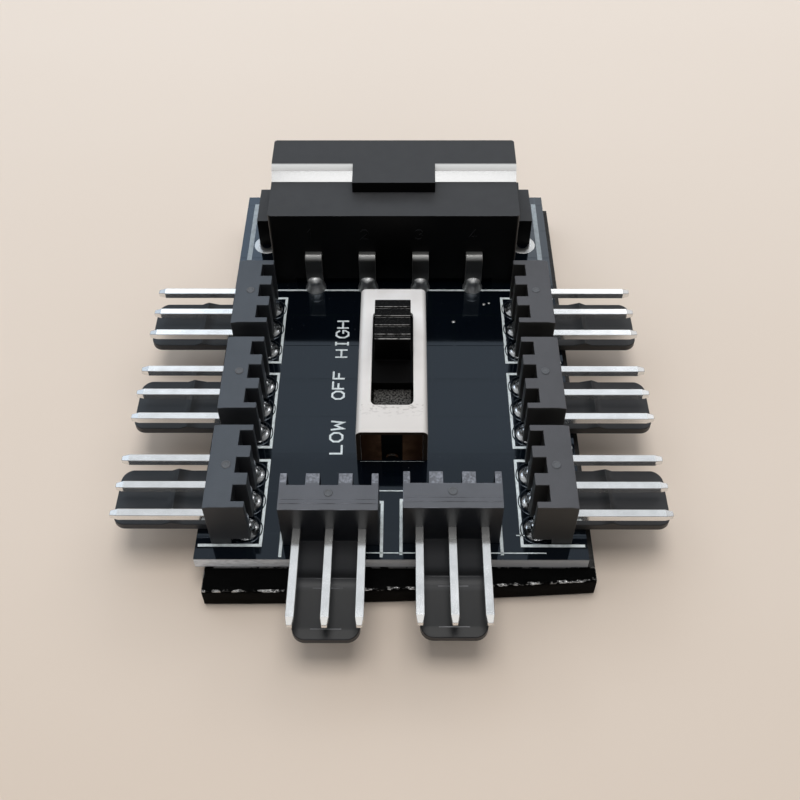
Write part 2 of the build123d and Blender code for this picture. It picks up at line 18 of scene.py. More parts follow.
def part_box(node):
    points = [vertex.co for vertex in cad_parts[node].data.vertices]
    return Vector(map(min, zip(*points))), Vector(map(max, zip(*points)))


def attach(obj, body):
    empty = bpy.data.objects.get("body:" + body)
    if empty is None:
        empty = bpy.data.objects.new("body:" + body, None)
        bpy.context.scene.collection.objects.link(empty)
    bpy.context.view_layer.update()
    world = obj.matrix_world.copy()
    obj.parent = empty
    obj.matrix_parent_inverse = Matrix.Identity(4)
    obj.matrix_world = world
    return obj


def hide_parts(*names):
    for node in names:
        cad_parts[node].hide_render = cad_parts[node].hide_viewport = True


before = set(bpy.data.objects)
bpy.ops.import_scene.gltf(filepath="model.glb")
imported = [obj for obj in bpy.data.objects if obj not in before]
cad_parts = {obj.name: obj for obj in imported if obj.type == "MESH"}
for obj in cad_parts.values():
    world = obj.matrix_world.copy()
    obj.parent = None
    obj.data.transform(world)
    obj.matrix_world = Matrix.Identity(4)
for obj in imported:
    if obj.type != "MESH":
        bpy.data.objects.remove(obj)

LOG = logging.getLogger("fan_hub")
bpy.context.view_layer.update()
MM = 0.001
BOARD_LOW, BOARD_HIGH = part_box("circuit_board")
UNDERSIDE = Vector((0, 0, BOARD_LOW.z - BOARD_HIGH.z))
Colour = tuple[float, float, float]
Point = tuple[float, float]
Span = tuple[float, float]
Place = tuple[Vector, float]
Spreads = tuple[float, float, int]
Build = bmesh.types.BMesh
Material = bpy.types.Material
Mesh = bpy.types.Mesh
Socket = bpy.types.NodeSocket


class Body(Enum):
    """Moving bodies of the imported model."""

    HUB = "hub"
    SLIDER = "slider"


class Slot(Enum):
    """Material slots of the record; calls below name them, but nothing reads them."""

    HEADER = "header_plastic"
    SOCKET = "socket_plastic"
    PIN = "tinned_pin"
    SOLDER = "solder"
    BOARD = "board_mask"
    FOAM = "foam"
    COVER = "switch_steel"
    BASE = "switch_base_plastic"
    SLIDER = "slider_plastic"


class Side(Enum):
    """Way in which a fan header looks, as a turn about Z from +X."""

    RIGHT = 0.0
    LEFT = math.pi
    FRONT = -math.pi / 2

    @property
    def out(self) -> Vector:
        """Direction in which the header looks."""
        return Vector((math.cos(self.value), math.sin(self.value), 0))


class Blend(Enum):
    """What a mix node blends: its data type, the number of its first input, and of its output."""

    VALUE = ("FLOAT", 2, 0)
    NORMAL = ("VECTOR", 4, 1)
    COLOUR = ("RGBA", 6, 2)


def at(x: float, y: float, z: float = 0.0) -> Vector:
    """Turn a point in the board's own millimetres into metres in the model's frame."""
    return Vector((x * MM, BOARD_LOW.y + y * MM, BOARD_HIGH.z + z * MM))


def tone(*display: float) -> Colour:
    """Turn red, green and blue from 0 to 255, as displayed, into a linear colour."""
    parts = (value / 255 for value in display)
    return tuple(p / 12.92 if p <= 0.04045 else ((p + 0.055) / 1.055) ** 2.4 for p in parts)


def scaled(colour: Colour, share: float) -> Colour:
    """Multiply a colour by a share."""
    return tuple(share * part for part in colour)


def smooth_step(value: float, low: float, high: float) -> float:
    """Rise from 0 at low to 1 at high along a smooth curve."""
    share = min(1.0, max(0.0, (value - low) / (high - low)))
    return share * share * (3 - 2 * share)


class NodeTree:
    """A node tree, with short calls that add and feed its nodes."""

    def __init__(self, tree: bpy.types.NodeTree) -> None:
        """Take an empty tree."""
        self.tree = tree

    def add(self, kind: str, inputs: dict[Any, Any] | None = None, **settings: Any) -> Any:
        """Add a node.

        Args:
            kind: Its type.
            inputs: Values or sockets for its inputs, by name or number.
            **settings: Values of its properties, which are set first.

        Returns:
            The node.
        """
        node = self.tree.nodes.new(kind)
        for name, value in settings.items():
            setattr(node, name, value)
        for key, value in (inputs or {}).items():
            self.feed(node.inputs[key], value)
        return node

    def feed(self, socket: Socket, value: Any) -> None:
        """Link an input, or set its value.

        Args:
            socket: The input.
            value: An output to link it to, or a plain value.
        """
        if isinstance(value, Socket):
            self.tree.links.new(value, socket)
        elif isinstance(value, tuple) and len(value) == 3 and socket.type == "RGBA":
            socket.default_value = (*value, 1.0)
        else:
            socket.default_value = value


class Graph(NodeTree):
    """One material's node tree, with short calls for its usual nodes."""

    def __init__(self, name: str) -> None:
        """Start a material with a principled shader.

        Args:
            name: Name of the material.
        """
        self.material = bpy.data.materials.new(name)
        self.material.use_nodes = True
        super().__init__(self.material.node_tree)
        self.tree.nodes.clear()
        self.shader = self.add("ShaderNodeBsdfPrincipled")
        self.add("ShaderNodeOutputMaterial", {"Surface": self.shader.outputs["BSDF"]})

    def place(self) -> Socket:
        """Object coordinates, in metres."""
        return self.add("ShaderNodeTexCoord").outputs["Object"]

    def axis(self, letter: str) -> Socket:
        """One of the object coordinates."""
        return self.add("ShaderNodeSeparateXYZ", {0: self.place()}).outputs[letter]

    def facing(self, letter: str) -> Socket:
        """One component of the surface's true normal."""
        normal = self.add("ShaderNodeNewGeometry").outputs["Normal"]
        return self.add("ShaderNodeSeparateXYZ", {0: normal}).outputs[letter]

    def noise(self, size: float, detail: float, stretch: Sequence[float] = (1, 1, 1)) -> Socket:
        """Noise whose features are about as large as size.

        Args:
            size: Feature size in millimetres.
            detail: Octaves of finer noise on top.
            stretch: Scale by axis, before the size.

        Returns:
            The noise value, from 0 to 1.
        """
        place = self.add("ShaderNodeMapping", {"Vector": self.place(), "Scale": stretch})
        inputs = {"Vector": place.outputs["Vector"], "Scale": 1.0 / (size * MM), "Detail": detail}
        return self.add("ShaderNodeTexNoise", inputs).outputs["Fac"]

    def range(
        self, value: Any, low: float, high: float, start: float = 0, end: float = 1
    ) -> Socket:
        """Map the span from low to high to the one from start to end, with its ends held."""
        inputs = {"Value": value, "From Min": low, "From Max": high, "To Min": start, "To Max": end}
        return self.add("ShaderNodeMapRange", inputs, clamp=True).outputs["Result"]

    def stretch(
        self, letter: str, low: float, high: float, start: float = 0, end: float = 1
    ) -> Socket:
        """Map a stretch of an axis, in the board's own millimetres, to a span, as range does."""
        origin = {"X": 0.0, "Y": BOARD_LOW.y, "Z": BOARD_HIGH.z}[letter]
        return self.range(self.axis(letter), origin + low * MM, origin + high * MM, start, end)

    def fall(self, value: Any, low: float, high: float) -> Socket:
        """Fall from 1 at low to 0 at high."""
        return self.range(value, low, high, 1.0, 0.0)

    def band(self, value: Any, low: float, full: float, last: float, high: float) -> Socket:
        """Rise from 0 at low to 1 at full, and fall from 1 at last to 0 at high."""
        return self.times(self.range(value, low, full), self.fall(value, last, high))

    def math(self, operation: str, first: Any, second: Any = 0.0) -> Socket:
        """Combine two values."""
        return self.add("ShaderNodeMath", {0: first, 1: second}, operation=operation).outputs[0]

    def times(self, *values: Any) -> Socket:
        """Multiply values, from the first to the last."""
        return reduce(lambda product, value: self.math("MULTIPLY", product, value), values)

    def mix(self, factor: Any, first: Any, second: Any, kind: Blend = Blend.COLOUR) -> Socket:
        """Blend two colours, or two things of another kind.

        Args:
            factor: Share of the second.
            first: The first.
            second: The second.
            kind: What they are.

        Returns:
            The blend.
        """
        data_type, start, output = kind.value
        inputs = {0: factor, start: first, start + 1: second}
        return self.add("ShaderNodeMix", inputs, data_type=data_type).outputs[output]

    def blend(self, factor: Any, first: Any, second: Any) -> Socket:
        """Blend two values."""
        return self.mix(factor, first, second, Blend.VALUE)

    def bump(self, height: Any, depth: float, strength: Any, under: Any = None) -> Socket:
        """Bump the surface.

        Args:
            height: Height from 0 to 1.
            depth: Millimetres that a height of 1 stands for.
            strength: Share of the bump that is used.
            under: Normal of an earlier bump, or None.

        Returns:
            The bumped normal.
        """
        inputs = {"Height": height, "Strength": strength, "Distance": depth * MM}
        if under is not None:
            inputs["Normal"] = under
        return self.add("ShaderNodeBump", inputs).outputs["Normal"]

    def dress(self, **sockets: Any) -> Material:
        """Feed the shader.

        Args:
            **sockets: Values or sockets for its inputs, named with underscores for spaces.

        Returns:
            The finished material.
        """
        for name, value in sockets.items():
            self.feed(self.shader.inputs[name.replace("_", " ")], value)
        return self.material


# Upward part of the normal over which a face turns from a side into a top.
TOP: Span = (0.8, 0.97)
# Grey levels of a soft noise over which its dark half turns into its pale half.
HALVES: Span = (0.3, 0.7)


@dataclass(frozen=True)
class MouldedNylon:
    """Black moulding: painted light on one black nylon, lighter on its dull grained tops and darker
    on its sides; painted highlights on eased edges, and polished slopes if any.
    """

    name: str
    # Painted light: the side colour and the top colour are shaded and lit copies of one black
    # nylon.
    side_colour: Colour
    top_colour: Colour
    dull_from: float = 5.0
    sheen: float = 0.3
    side_roughness: float = 0.42
    top_roughness: float = 0.5
    cloud: float = 1.6
    grain: float = 0.09
    relief: float = 0.012
    # Share by which the painted highlight on eased edges outshines the top colour.
    edge_gain: float = 1.5
    slope_shine: float = 0.0
    slope_from: float = 8.7
    slope_clear: float = 3.88
    # Pale colour painted on the slope shoulders as a highlight.
    shoulder_colour: Colour = (0.76, 0.76, 0.75)
    frayed: Span | None = None
    # The shares below paint shade: a darker copy of the top colour on low tops, on the tongue tips
    # past tip_from, and on low faces turned inward.
    low_share: float = 0.3
    tip_share: float = 1.0
    tip_from: float = -2.7
    inward: tuple[str, float] | None = None
    inward_share: float = 0.06

    def polished(self, graph: Graph, rise: Socket) -> Socket:
        """Mask of the polished slopes, which face the front high up at both sides of the middle.

        Args:
            graph: The material.
            rise: Upward part of the normal.

        Returns:
            The mask, 1 on the slopes.
        """
        across = graph.math("ABSOLUTE", graph.axis("X"))
        return graph.times(
            graph.band(rise, 0.55, 0.62, 0.93, 0.97),
            graph.fall(graph.facing("Y"), -0.3, -0.2),
            graph.stretch("Z", self.slope_from, self.slope_from + 0.05),
            graph.range(across, self.slope_clear * MM, (self.slope_clear + 0.04) * MM),
        )

    def top(self, graph: Graph, high: Socket, cloud: Socket, speck: Socket) -> Socket:
        """Colour of the upward faces.

        Args:
            graph: The material.
            high: 1 where a face lies high enough to be dull.
            cloud: Soft noise.
            speck: Fine noise.

        Returns:
            The colour: clouded and specked high up, frayed at the front, and darker as painted
                shade low down, at the tongue tips and on low faces turned inward.
        """
        full = self.top_colour
        top = graph.mix(graph.range(cloud, *HALVES), scaled(full, 0.84), full)
        top = graph.mix(graph.range(speck, 0.66, 0.74, 0.0, 0.3), top, scaled(full, 1.6))
        if self.frayed:
            near, far = self.frayed
            fading = graph.stretch("Y", far, far + 1.0, 1.0, 0.0)
            zone = graph.times(graph.stretch("Y", near, near + 0.1), fading)
            fray = graph.times(zone, graph.range(graph.noise(0.22, 4), 0.4, 0.62, 0.1, 1.0))
            top = graph.mix(fray, top, scaled(full, 2.3))
        # Painted shade: upward faces low down take a darker copy of the top colour, darker still at
        # the tongue tips.
        low: Any = scaled(full, self.low_share)
        if self.tip_share < 1.0:
            tip_shade = graph.stretch("Y", self.tip_from - 0.3, self.tip_from, 1.0, 0.0)
            low = graph.mix(tip_shade, low, scaled(low, self.tip_share))
        top = graph.mix(high, low, top)
        # Painted shade: low faces turned inward take a far darker copy of the top colour.
        if self.inward:
            letter, way = self.inward
            inward_shade = graph.range(graph.times(graph.facing(letter), way), 0.1, 0.22)
            inward_shade = graph.times(inward_shade, graph.fall(high, 0.0, 1.0))
            top = graph.mix(inward_shade, top, scaled(full, self.inward_share))
        return top

    def make(self) -> Material:
        """Build the material.

        Returns:
            The material.
        """
        graph = Graph(self.name)
        rise = graph.facing("Z")
        upward = graph.range(rise, *TOP)
        high = graph.stretch("Z", self.dull_from - 0.2, self.dull_from)
        cloud, speck = graph.noise(self.cloud, 4), graph.noise(self.grain, 2)
        # Painted light: upward faces take the lighter top colour, all other faces the dark side
        # colour.
        colour = graph.mix(upward, self.side_colour, self.top(graph, high, cloud, speck))
        # Painted highlight: eased edges high up take a lighter copy of the top colour, in patches.
        patchy = graph.range(cloud, 0.35, 0.65, 0.4, 1.0)
        edge_highlight = graph.times(graph.band(rise, 0.3, 0.5, 0.86, 0.95), high, patchy)
        colour = graph.mix(edge_highlight, colour, scaled(self.top_colour, self.edge_gain))
        dull = graph.times(upward, high)
        ends = (self.top_roughness * 0.9, self.top_roughness * 1.15)
        rough = graph.blend(dull, self.side_roughness, graph.range(cloud, *HALVES, *ends))
        fine = graph.bump(speck, self.relief, graph.blend(dull, 0.12, 1.0))
        metal: Any = 0.0
        if self.slope_shine:
            slope = self.polished(graph, rise)
            # Painted highlight: the shoulder of each polished slope takes a pale diffuse colour
            # instead of reflecting.
            shoulder = graph.range(rise, 0.688, 0.71)
            shine = graph.mix(shoulder, (self.slope_shine,) * 3, self.shoulder_colour)
            colour = graph.mix(slope, colour, shine)
            metal = graph.times(slope, graph.fall(shoulder, 0.0, 1.0))
            rough = graph.blend(slope, rough, graph.range(shoulder, 0.0, 1.0, 0.12, 0.6))
        return graph.dress(
            Base_Color=colour,
            Metallic=metal,
            Roughness=rough,
            Specular_IOR_Level=self.sheen,
            Normal=fine,
        )


@dataclass(frozen=True)
class PlatedMetal:
    """Plated metal, a little cloudy, with painted shade on front faces and on slanted tips."""

    name: str
    colour: Colour
    roughness: float
    cloud: float
    relief: float
    metal: float = 1.0
    # The shares below paint shade on faces turned to the front and on slanted tips.
    front_share: float = 1.0
    wetted_span: Span = (1.0, 2.4)
    tip_share: float = 1.0
    side_tip_share: float = 0.36

    def make(self) -> Material:
        """Build the material.

        Returns:
            The material.
        """
        graph = Graph(self.name)
        cloud, line = graph.noise(self.cloud, 4), graph.noise(0.12, 3)
        shade = graph.mix(graph.range(cloud, 0.3, 0.75), scaled(self.colour, 0.86), self.colour)
        # Painted shade: faces turned to the front take a darker copy of the colour, less of it low
        # down.
        if self.front_share < 1.0:
            front = graph.fall(graph.facing("Y"), -0.95, -0.7)
            front = graph.times(front, graph.stretch("Z", *self.wetted_span, 0.35, 1.0))
            shade = graph.mix(front, shade, scaled(self.colour, self.front_share))
        # Painted shade: slanted tip facets take darker copies of the colour, one for those facing
        # the front, one for those facing aside.
        if self.tip_share < 1.0:
            slanted = graph.band(graph.facing("Z"), 0.5, 0.7, 0.991, 0.998)
            forward = graph.fall(graph.facing("Y"), -0.1, -0.05)
            aside = graph.range(graph.math("ABSOLUTE", graph.facing("X")), 0.05, 0.1)
            for side, share in ((forward, self.tip_share), (aside, self.side_tip_share)):
                shade = graph.mix(graph.times(slanted, side), shade, scaled(self.colour, share))
        grey = graph.math("ADD", cloud, graph.times(line, 0.5))
        rough = graph.range(grey, 0.5, 1.0, self.roughness * 0.9, self.roughness * 1.2)
        sockets = {"Base_Color": shade, "Metallic": self.metal, "Roughness": rough}
        if self.relief:
            sockets["Normal"] = graph.bump(line, self.relief, 0.6)
        return graph.dress(**sockets)


@dataclass(frozen=True)
class CoverSteel:
    """Satin plated steel of the switch cover, scuffed where a nail drags the knob; painted light
    makes it lighter towards its far end, and painted shade darkens its cut end.
    """

    name: str = "plated_cover_steel"
    colour: Colour = (0.69, 0.65, 0.62)
    # Lighter colour painted towards the far end as light.
    far_colour: Colour = (0.87, 0.85, 0.845)
    # Near black of the cut end: raw cut steel, darkened further as painted shade.
    edge_colour: Colour = (0.03, 0.02, 0.014)
    scuff_colour: Colour = (0.34, 0.31, 0.29)
    metal: float = 0.15
    scuffed: Span = (10.6, 12.0)
    far_end: float = 27.0

    def make(self) -> Material:
        """Build the material.

        Returns:
            The material.
        """
        graph = Graph(self.name)
        near, far = self.scuffed
        pits = graph.range(graph.noise(0.2, 2, (0.5, 1, 1)), 0.54, 0.62)
        zone = graph.times(
            graph.stretch("Y", near, far), graph.stretch("Y", far, far + 0.1, 1.0, 0.0)
        )
        scuff = graph.times(zone, pits, graph.range(graph.facing("Z"), 0.9, 0.99))
        cloud = graph.noise(2.5, 3)
        # Painted light: the cover turns lighter towards its far end.
        painted_light = graph.stretch("Y", near, self.far_end)
        shade = graph.mix(painted_light, self.colour, self.far_colour)
        shade = graph.mix(graph.range(cloud, *HALVES, 0.0, 0.5), shade, scaled(self.colour, 0.93))
        shade = graph.mix(graph.times(scuff, 0.6), shade, self.scuff_colour)
        # Cut end faces: raw cut steel, painted near black as shade, with no metal and little sheen.
        cut_end_shade = graph.fall(graph.facing("Y"), -0.9, -0.6)
        rolled = graph.bump(graph.noise(0.1, 2, (1, 0.08, 1)), 0.003, 0.4)
        return graph.dress(
            Base_Color=graph.mix(cut_end_shade, shade, self.edge_colour),
            Metallic=graph.blend(cut_end_shade, self.metal, 0.0),
            Roughness=graph.range(cloud, *HALVES, 0.42, 0.5),
            Specular_IOR_Level=graph.blend(cut_end_shade, 0.5, 0.1),
            Normal=graph.bump(pits, 0.06, scuff, rolled),
        )


@dataclass(frozen=True)
class BoardLaminate:
    """Glossy dark mask with faint tracks under it, and fibrous laminate on the cut edges."""

    name: str = "masked_laminate"
    mask: Colour = (0.0008, 0.0020, 0.0042)
    track_colour: Colour = (0.002, 0.005, 0.005)
    dust_colour: Colour = (0.2, 0.2, 0.2)
    fibre: Colour = tone(246, 247, 250)
    rim_colour: Colour = tone(90, 90, 92)
    # Span across the board over which painted light makes the cut edge lighter at its left end.
    paler_span: Span = (-14.5, 3.0)

    def edge(self, graph: Graph, strands: Socket) -> Socket:
        """Colour of the cut edge.

        Args:
            graph: The material.
            strands: Noise of the glass strands.

        Returns:
            The colour: darker at its rims, and lighter at its left end as painted light.
        """
        layer = graph.range(graph.axis("Z"), BOARD_LOW.z, BOARD_HIGH.z)
        rim = graph.math("MAXIMUM", graph.fall(layer, 0.0, 0.16), graph.range(layer, 0.84, 0.97))
        # Painted light: the cut edge turns lighter towards its left end.
        painted_light = graph.stretch("X", *self.paler_span, 1.0, 0.1)
        fibre = graph.mix(graph.range(strands, 0.32, 0.55), scaled(self.fibre, 0.6), self.fibre)
        fibre = graph.mix(painted_light, scaled(self.fibre, 0.35), fibre)
        return graph.mix(graph.times(rim, 0.4), fibre, self.rim_colour)

    def make(self) -> Material:
        """Build the material.

        Returns:
            The material.
        """
        graph = Graph(self.name)
        flat = graph.range(graph.math("ABSOLUTE", graph.facing("Z")), 0.5, 0.7)
        inputs = {"Vector": graph.place(), "Scale": 230.0, "Mortar Size": 0.035}
        inputs |= {"Mortar Smooth": 0.4, "Brick Width": 1.3, "Row Height": 0.9}
        track = graph.add("ShaderNodeTexBrick", inputs, offset=0.37, squash=1.0).outputs["Fac"]
        cloud = graph.noise(9.0, 2)
        mask = graph.mix(graph.range(cloud, 0.35, 0.65), self.mask, scaled(self.mask, 1.25))
        mask = graph.mix(graph.times(track, 0.3), mask, self.track_colour)
        dust = graph.range(graph.noise(0.22, 1), 0.765, 0.8)
        mask = graph.mix(graph.times(dust, 0.25), mask, self.dust_colour)
        strands = graph.noise(0.14, 4, (0.25, 0.25, 1.6))
        waves = graph.bump(graph.noise(3.0, 2), 0.02, 0.15)
        normals = (graph.bump(strands, 0.05, 1.0), graph.bump(track, 0.01, 0.25, waves))
        return graph.dress(
            Base_Color=graph.mix(flat, self.edge(graph, strands), mask),
            Roughness=graph.blend(flat, 0.6, graph.range(cloud, 0.35, 0.65, 0.055, 0.085)),
            IOR=1.53,
            Specular_Tint=(0.86, 1.0, 1.16),
            Normal=graph.mix(flat, *normals, Blend.NORMAL),
        )


@dataclass(frozen=True)
class BoardInk:
    """White printing ink, thin in places."""

    name: str = "board_ink"
    colour: Colour = tone(228, 236, 238)

    def make(self) -> Material:
        """Build the material.

        Returns:
            The material.
        """
        graph = Graph(self.name)
        thin = graph.range(graph.noise(0.35, 4), 0.3, 0.6)
        return graph.dress(
            Base_Color=graph.mix(thin, scaled(self.colour, 0.72), self.colour),
            Roughness=graph.range(thin, 0.0, 1.0, 0.3, 0.5),
            Normal=graph.bump(thin, 0.01, 0.6),
        )


@dataclass(frozen=True)
class FoamBody:
    """Black closed-cell foam with its cut cells showing on the edges."""

    name: str = "black_foam"
    colour: Colour = (0.004, 0.0032, 0.0028)
    cell: float = 0.2

    def make(self) -> Material:
        """Build the material.

        Returns:
            The material.
        """
        graph = Graph(self.name)
        inputs = {"Vector": graph.place(), "Scale": 1.0 / (self.cell * MM)}
        cells = graph.add("ShaderNodeTexVoronoi", inputs, feature="SMOOTH_F1")
        pore = graph.range(cells.outputs["Distance"], 0.1, 0.8)
        return graph.dress(
            Base_Color=graph.mix(pore, scaled(self.colour, 2.2), self.colour),
            Roughness=graph.range(pore, 0.0, 1.0, 0.55, 0.8),
            Normal=graph.bump(pore, 0.05, 0.8),
        )


@dataclass(frozen=True)
class PadSkin:
    """Black skin of the pad, with wet-looking glints along its cut edge and a brown lower rim."""

    name: str = "black_pad_skin"
    colour: Colour = (0.0008, 0.0008, 0.0008)
    rim_colour: Colour = (0.0028, 0.0018, 0.0012)
    glint_colour: Colour = (0.34, 0.335, 0.33)
    rim_span: Span = (0.25, 0.8)

    def make(self) -> Material:
        """Build the material.

        Returns:
            The material.
        """
        graph = Graph(self.name)
        low = graph.fall(graph.axis("Z"), *(value * MM for value in self.rim_span))
        pucker = graph.noise(0.3, 4, (1, 1, 0.7))
        turned = graph.band(graph.facing("Z"), 0.3, 0.5, 0.9, 0.97)
        glint = graph.times(turned, graph.range(graph.noise(0.4, 3, (0.6, 1, 1)), 0.49, 0.54))
        colour = graph.mix(low, self.colour, self.rim_colour)
        return graph.dress(
            Base_Color=graph.mix(glint, colour, self.glint_colour),
            Metallic=glint,
            Roughness=graph.blend(glint, 0.5, 0.1),
            Specular_IOR_Level=0.02,
            Normal=graph.bump(pucker, 0.06, graph.blend(glint, 0.2, 0.8)),
        )


@dataclass(frozen=True)
class MouldedResin:
    """Dark brown resin of the switch base: tan beside the keyway, painted black in it as shade,
    grey on the deck.
    """

    name: str = "brown_base_resin"
    colour: Colour = (0.026, 0.010, 0.004)
    tan: Colour = (0.108, 0.059, 0.034)
    # Near black painted on the keyway's walls as shade.
    black: Colour = (0.0006, 0.0005, 0.0005)
    deck_colour: Colour = (0.012, 0.0115, 0.011)
    worn_colour: Colour = (0.13, 0.126, 0.12)
    keyway: float = 0.86

    def make(self) -> Material:
        """Build the material.

        Returns:
            The material.
        """
        graph = Graph(self.name)
        grain = graph.noise(0.16, 3)
        rise = graph.facing("Z")
        upward = graph.range(rise, *TOP)
        across = graph.math("ABSOLUTE", graph.axis("X"))
        wall, near, far = ((self.keyway + reach) * MM for reach in (0.04, 0.1, 1.3))
        # Painted shade: faces in the keyway that are not upward turn near black.
        inside = graph.fall(across, self.keyway * MM, wall)
        slot = graph.times(inside, graph.fall(rise, 0.3, 0.5))
        beside = graph.range(across, near, far, 1.0, 0.15)
        cloudy = graph.times(beside, graph.range(graph.noise(0.9, 3), 0.3, 0.65, 0.25, 1.0))
        shade = graph.mix(cloudy, self.colour, self.tan)
        shade = graph.mix(slot, shade, self.black)
        deck = graph.mix(graph.range(grain, 0.4, 0.62), self.deck_colour, self.worn_colour)
        return graph.dress(
            Base_Color=graph.mix(upward, shade, deck),
            Roughness=0.5,
            Specular_IOR_Level=0.07,
            Normal=graph.bump(grain, 0.05, graph.blend(upward, 0.2, 0.9)),
        )


@dataclass(frozen=True)
class SliderNylon:
    """Black slider: dark knob face and plate, grained lands and thin painted highlights on its
    groove edges.
    """

    name: str = "black_slider_nylon"
    colour: Colour = (0.0012, 0.0011, 0.0011)
    speck_colour: Colour = (0.02, 0.0195, 0.0195)
    # Pale colour painted on the groove edges as highlights.
    edge_colour: Colour = (0.34, 0.33, 0.32)
    knob_span: Span = (4.3, 4.8)

    def make(self) -> Material:
        """Build the material.

        Returns:
            The material.
        """
        graph = Graph(self.name)
        rise = graph.facing("Z")
        upward = graph.range(rise, 0.9, 0.98)
        grain = graph.noise(0.13, 3)
        high = graph.stretch("Z", *self.knob_span)
        # Painted highlight: ragged pale lines on the knob's groove edges that face the front.
        toward = graph.fall(graph.facing("Y"), -0.3, -0.15)
        ragged = graph.times(toward, graph.range(graph.noise(0.3, 3), 0.36, 0.54, 0.15, 1.0))
        lit = graph.times(graph.band(rise, 0.76, 0.82, 0.93, 0.98), high, ragged)
        speck = graph.times(graph.range(grain, 0.56, 0.66), high)
        lands = graph.mix(speck, self.colour, self.speck_colour)
        colour = graph.mix(upward, self.colour, lands)
        return graph.dress(
            Base_Color=graph.mix(lit, colour, self.edge_colour),
            Roughness=0.45,
            Specular_IOR_Level=0.05,
            Normal=graph.bump(grain, 0.035, graph.times(high, 0.8)),
        )


@dataclass(frozen=True)
class TableTop:
    """Pale warm table under the object, its tone deepened towards the front as painted shade."""

    name: str = "pale_table"
    # The darker front colour is painted shade.
    back: Colour = tone(236, 223, 211)
    front: Colour = tone(216, 199, 183)
    streak: Colour = (1.0, 0.95, 0.9)
    turn_span: Span = (-50.0, 70.0)

    def make(self) -> Material:
        """Build the material.

        Returns:
            The material.
        """
        graph = Graph(self.name)
        # Painted shade: the table turns from the back colour to the darker front colour along Y.
        share = graph.range(graph.axis("Y"), *(value * MM for value in self.turn_span))
        soft = graph.range(graph.noise(30.0, 2, (0.25, 1, 1)), *HALVES, 0.0, 0.06)
        base = graph.mix(share, self.front, self.back)
        return graph.dress(Base_Color=graph.mix(soft, base, self.streak), Roughness=0.6, IOR=1.3)


class Finishes:
    """Every material of the object, made once."""

    def __init__(self) -> None:
        """Make the materials."""
        # Painted light: the left, right and front headers take lighter and darker, tinted copies of
        # one nylon, as light falls on each side.
        self.header_left = MouldedNylon(
            "header_nylon_left", (0.024, 0.026, 0.030), (0.071, 0.082, 0.098), inward=("X", 1.0)
        ).make()
        self.header_right = MouldedNylon(
            "header_nylon_right", (0.024, 0.023, 0.022), (0.082, 0.083, 0.092), inward=("X", -1.0)
        ).make()
        self.header_front = MouldedNylon(
            "header_nylon_front",
            (0.005, 0.0062, 0.009),
            (0.108, 0.113, 0.129),
            edge_gain=2.0,
            frayed=(3.5, 5.4),
            low_share=0.18,
            tip_share=0.25,
            inward=("Y", 1.0),
        ).make()
        # Pale nylon that paints highlights on the tongue ridges.
        self.bright_edge = MouldedNylon(
            "bright_nylon_edge", (0.10, 0.10, 0.105), (0.26, 0.265, 0.28), -5.0
        ).make()
        self.gate = MouldedNylon(
            "worn_nylon", (0.05, 0.052, 0.056), (0.115, 0.12, 0.13), -5.0
        ).make()
        # The socket: sides painted near black and tops lighter, as light falls on one nylon.
        self.socket = MouldedNylon(
            "socket_nylon",
            (0.0009, 0.0009, 0.0010),
            (0.054, 0.0555, 0.059),
            3.0,
            sheen=0.13,
            edge_gain=1.1,
            slope_shine=0.255,
        ).make()
        self.tin = PlatedMetal(
            "tinned_pin_metal", (0.97, 0.965, 0.955), 0.14, 1.4, 0.0, 0.9, tip_share=0.13
        ).make()
        self.bare_tin = PlatedMetal("bare_tin_metal", (0.50, 0.50, 0.495), 0.3, 0.7, 0.02).make()
        self.contact = PlatedMetal(
            "contact_metal", (0.27, 0.27, 0.265), 0.36, 1.0, 0.004, 0.7, 0.22
        ).make()
        self.soft_solder = PlatedMetal(
            "satin_solder_metal", (0.66, 0.665, 0.67), 0.44, 0.6, 0.06
        ).make()
        self.solder = PlatedMetal("solder_metal", (0.60, 0.61, 0.62), 0.17, 0.5, 0.02).make()
        self.cover = CoverSteel().make()
        self.board = BoardLaminate().make()
        self.ink = BoardInk().make()
        self.grey_ink = BoardInk("grey_board_ink", tone(158, 168, 174)).make()
        self.foam = FoamBody().make()
        self.skin = PadSkin().make()
        self.base = MouldedResin().make()
        self.slider = SliderNylon().make()


def shown(name: str, data: Any) -> bpy.types.Object:
    """Put a new object with some data into the scene.

    Args:
        name: Name of the object.
        data: Its mesh, lamp or camera.

    Returns:
        The object.
    """
    item = bpy.data.objects.new(name, data)
    bpy.context.scene.collection.objects.link(item)
    return item


def new_piece(
    name: str,
    mesh: Mesh,
    finish: Material,
    body: Body = Body.HUB,
    stands_for: Sequence[str] = (),
) -> bpy.types.Object:
    """Put a mesh into the scene as a piece of the object.

    Args:
        name: Name of the piece.
        mesh: Its mesh, already in the model's frame.
        finish: Its material.
        body: The body that it rides on.
        stands_for: Nodes of the model that it replaces.

    Returns:
        The new object.
    """
    mesh.materials.clear()
    mesh.materials.append(finish)
    piece = shown(name, mesh)
    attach(piece, body.value)
    if stands_for:
        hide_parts(*stands_for)
    LOG.info("%s: %d faces", name, len(mesh.polygons))
    return piece


def paint(node: str, finish: Material) -> None:
    """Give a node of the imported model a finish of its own.

    Args:
        node: Name of the node.
        finish: Its material.
    """
    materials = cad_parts[node].data.materials
    materials.clear()
    materials.append(finish)


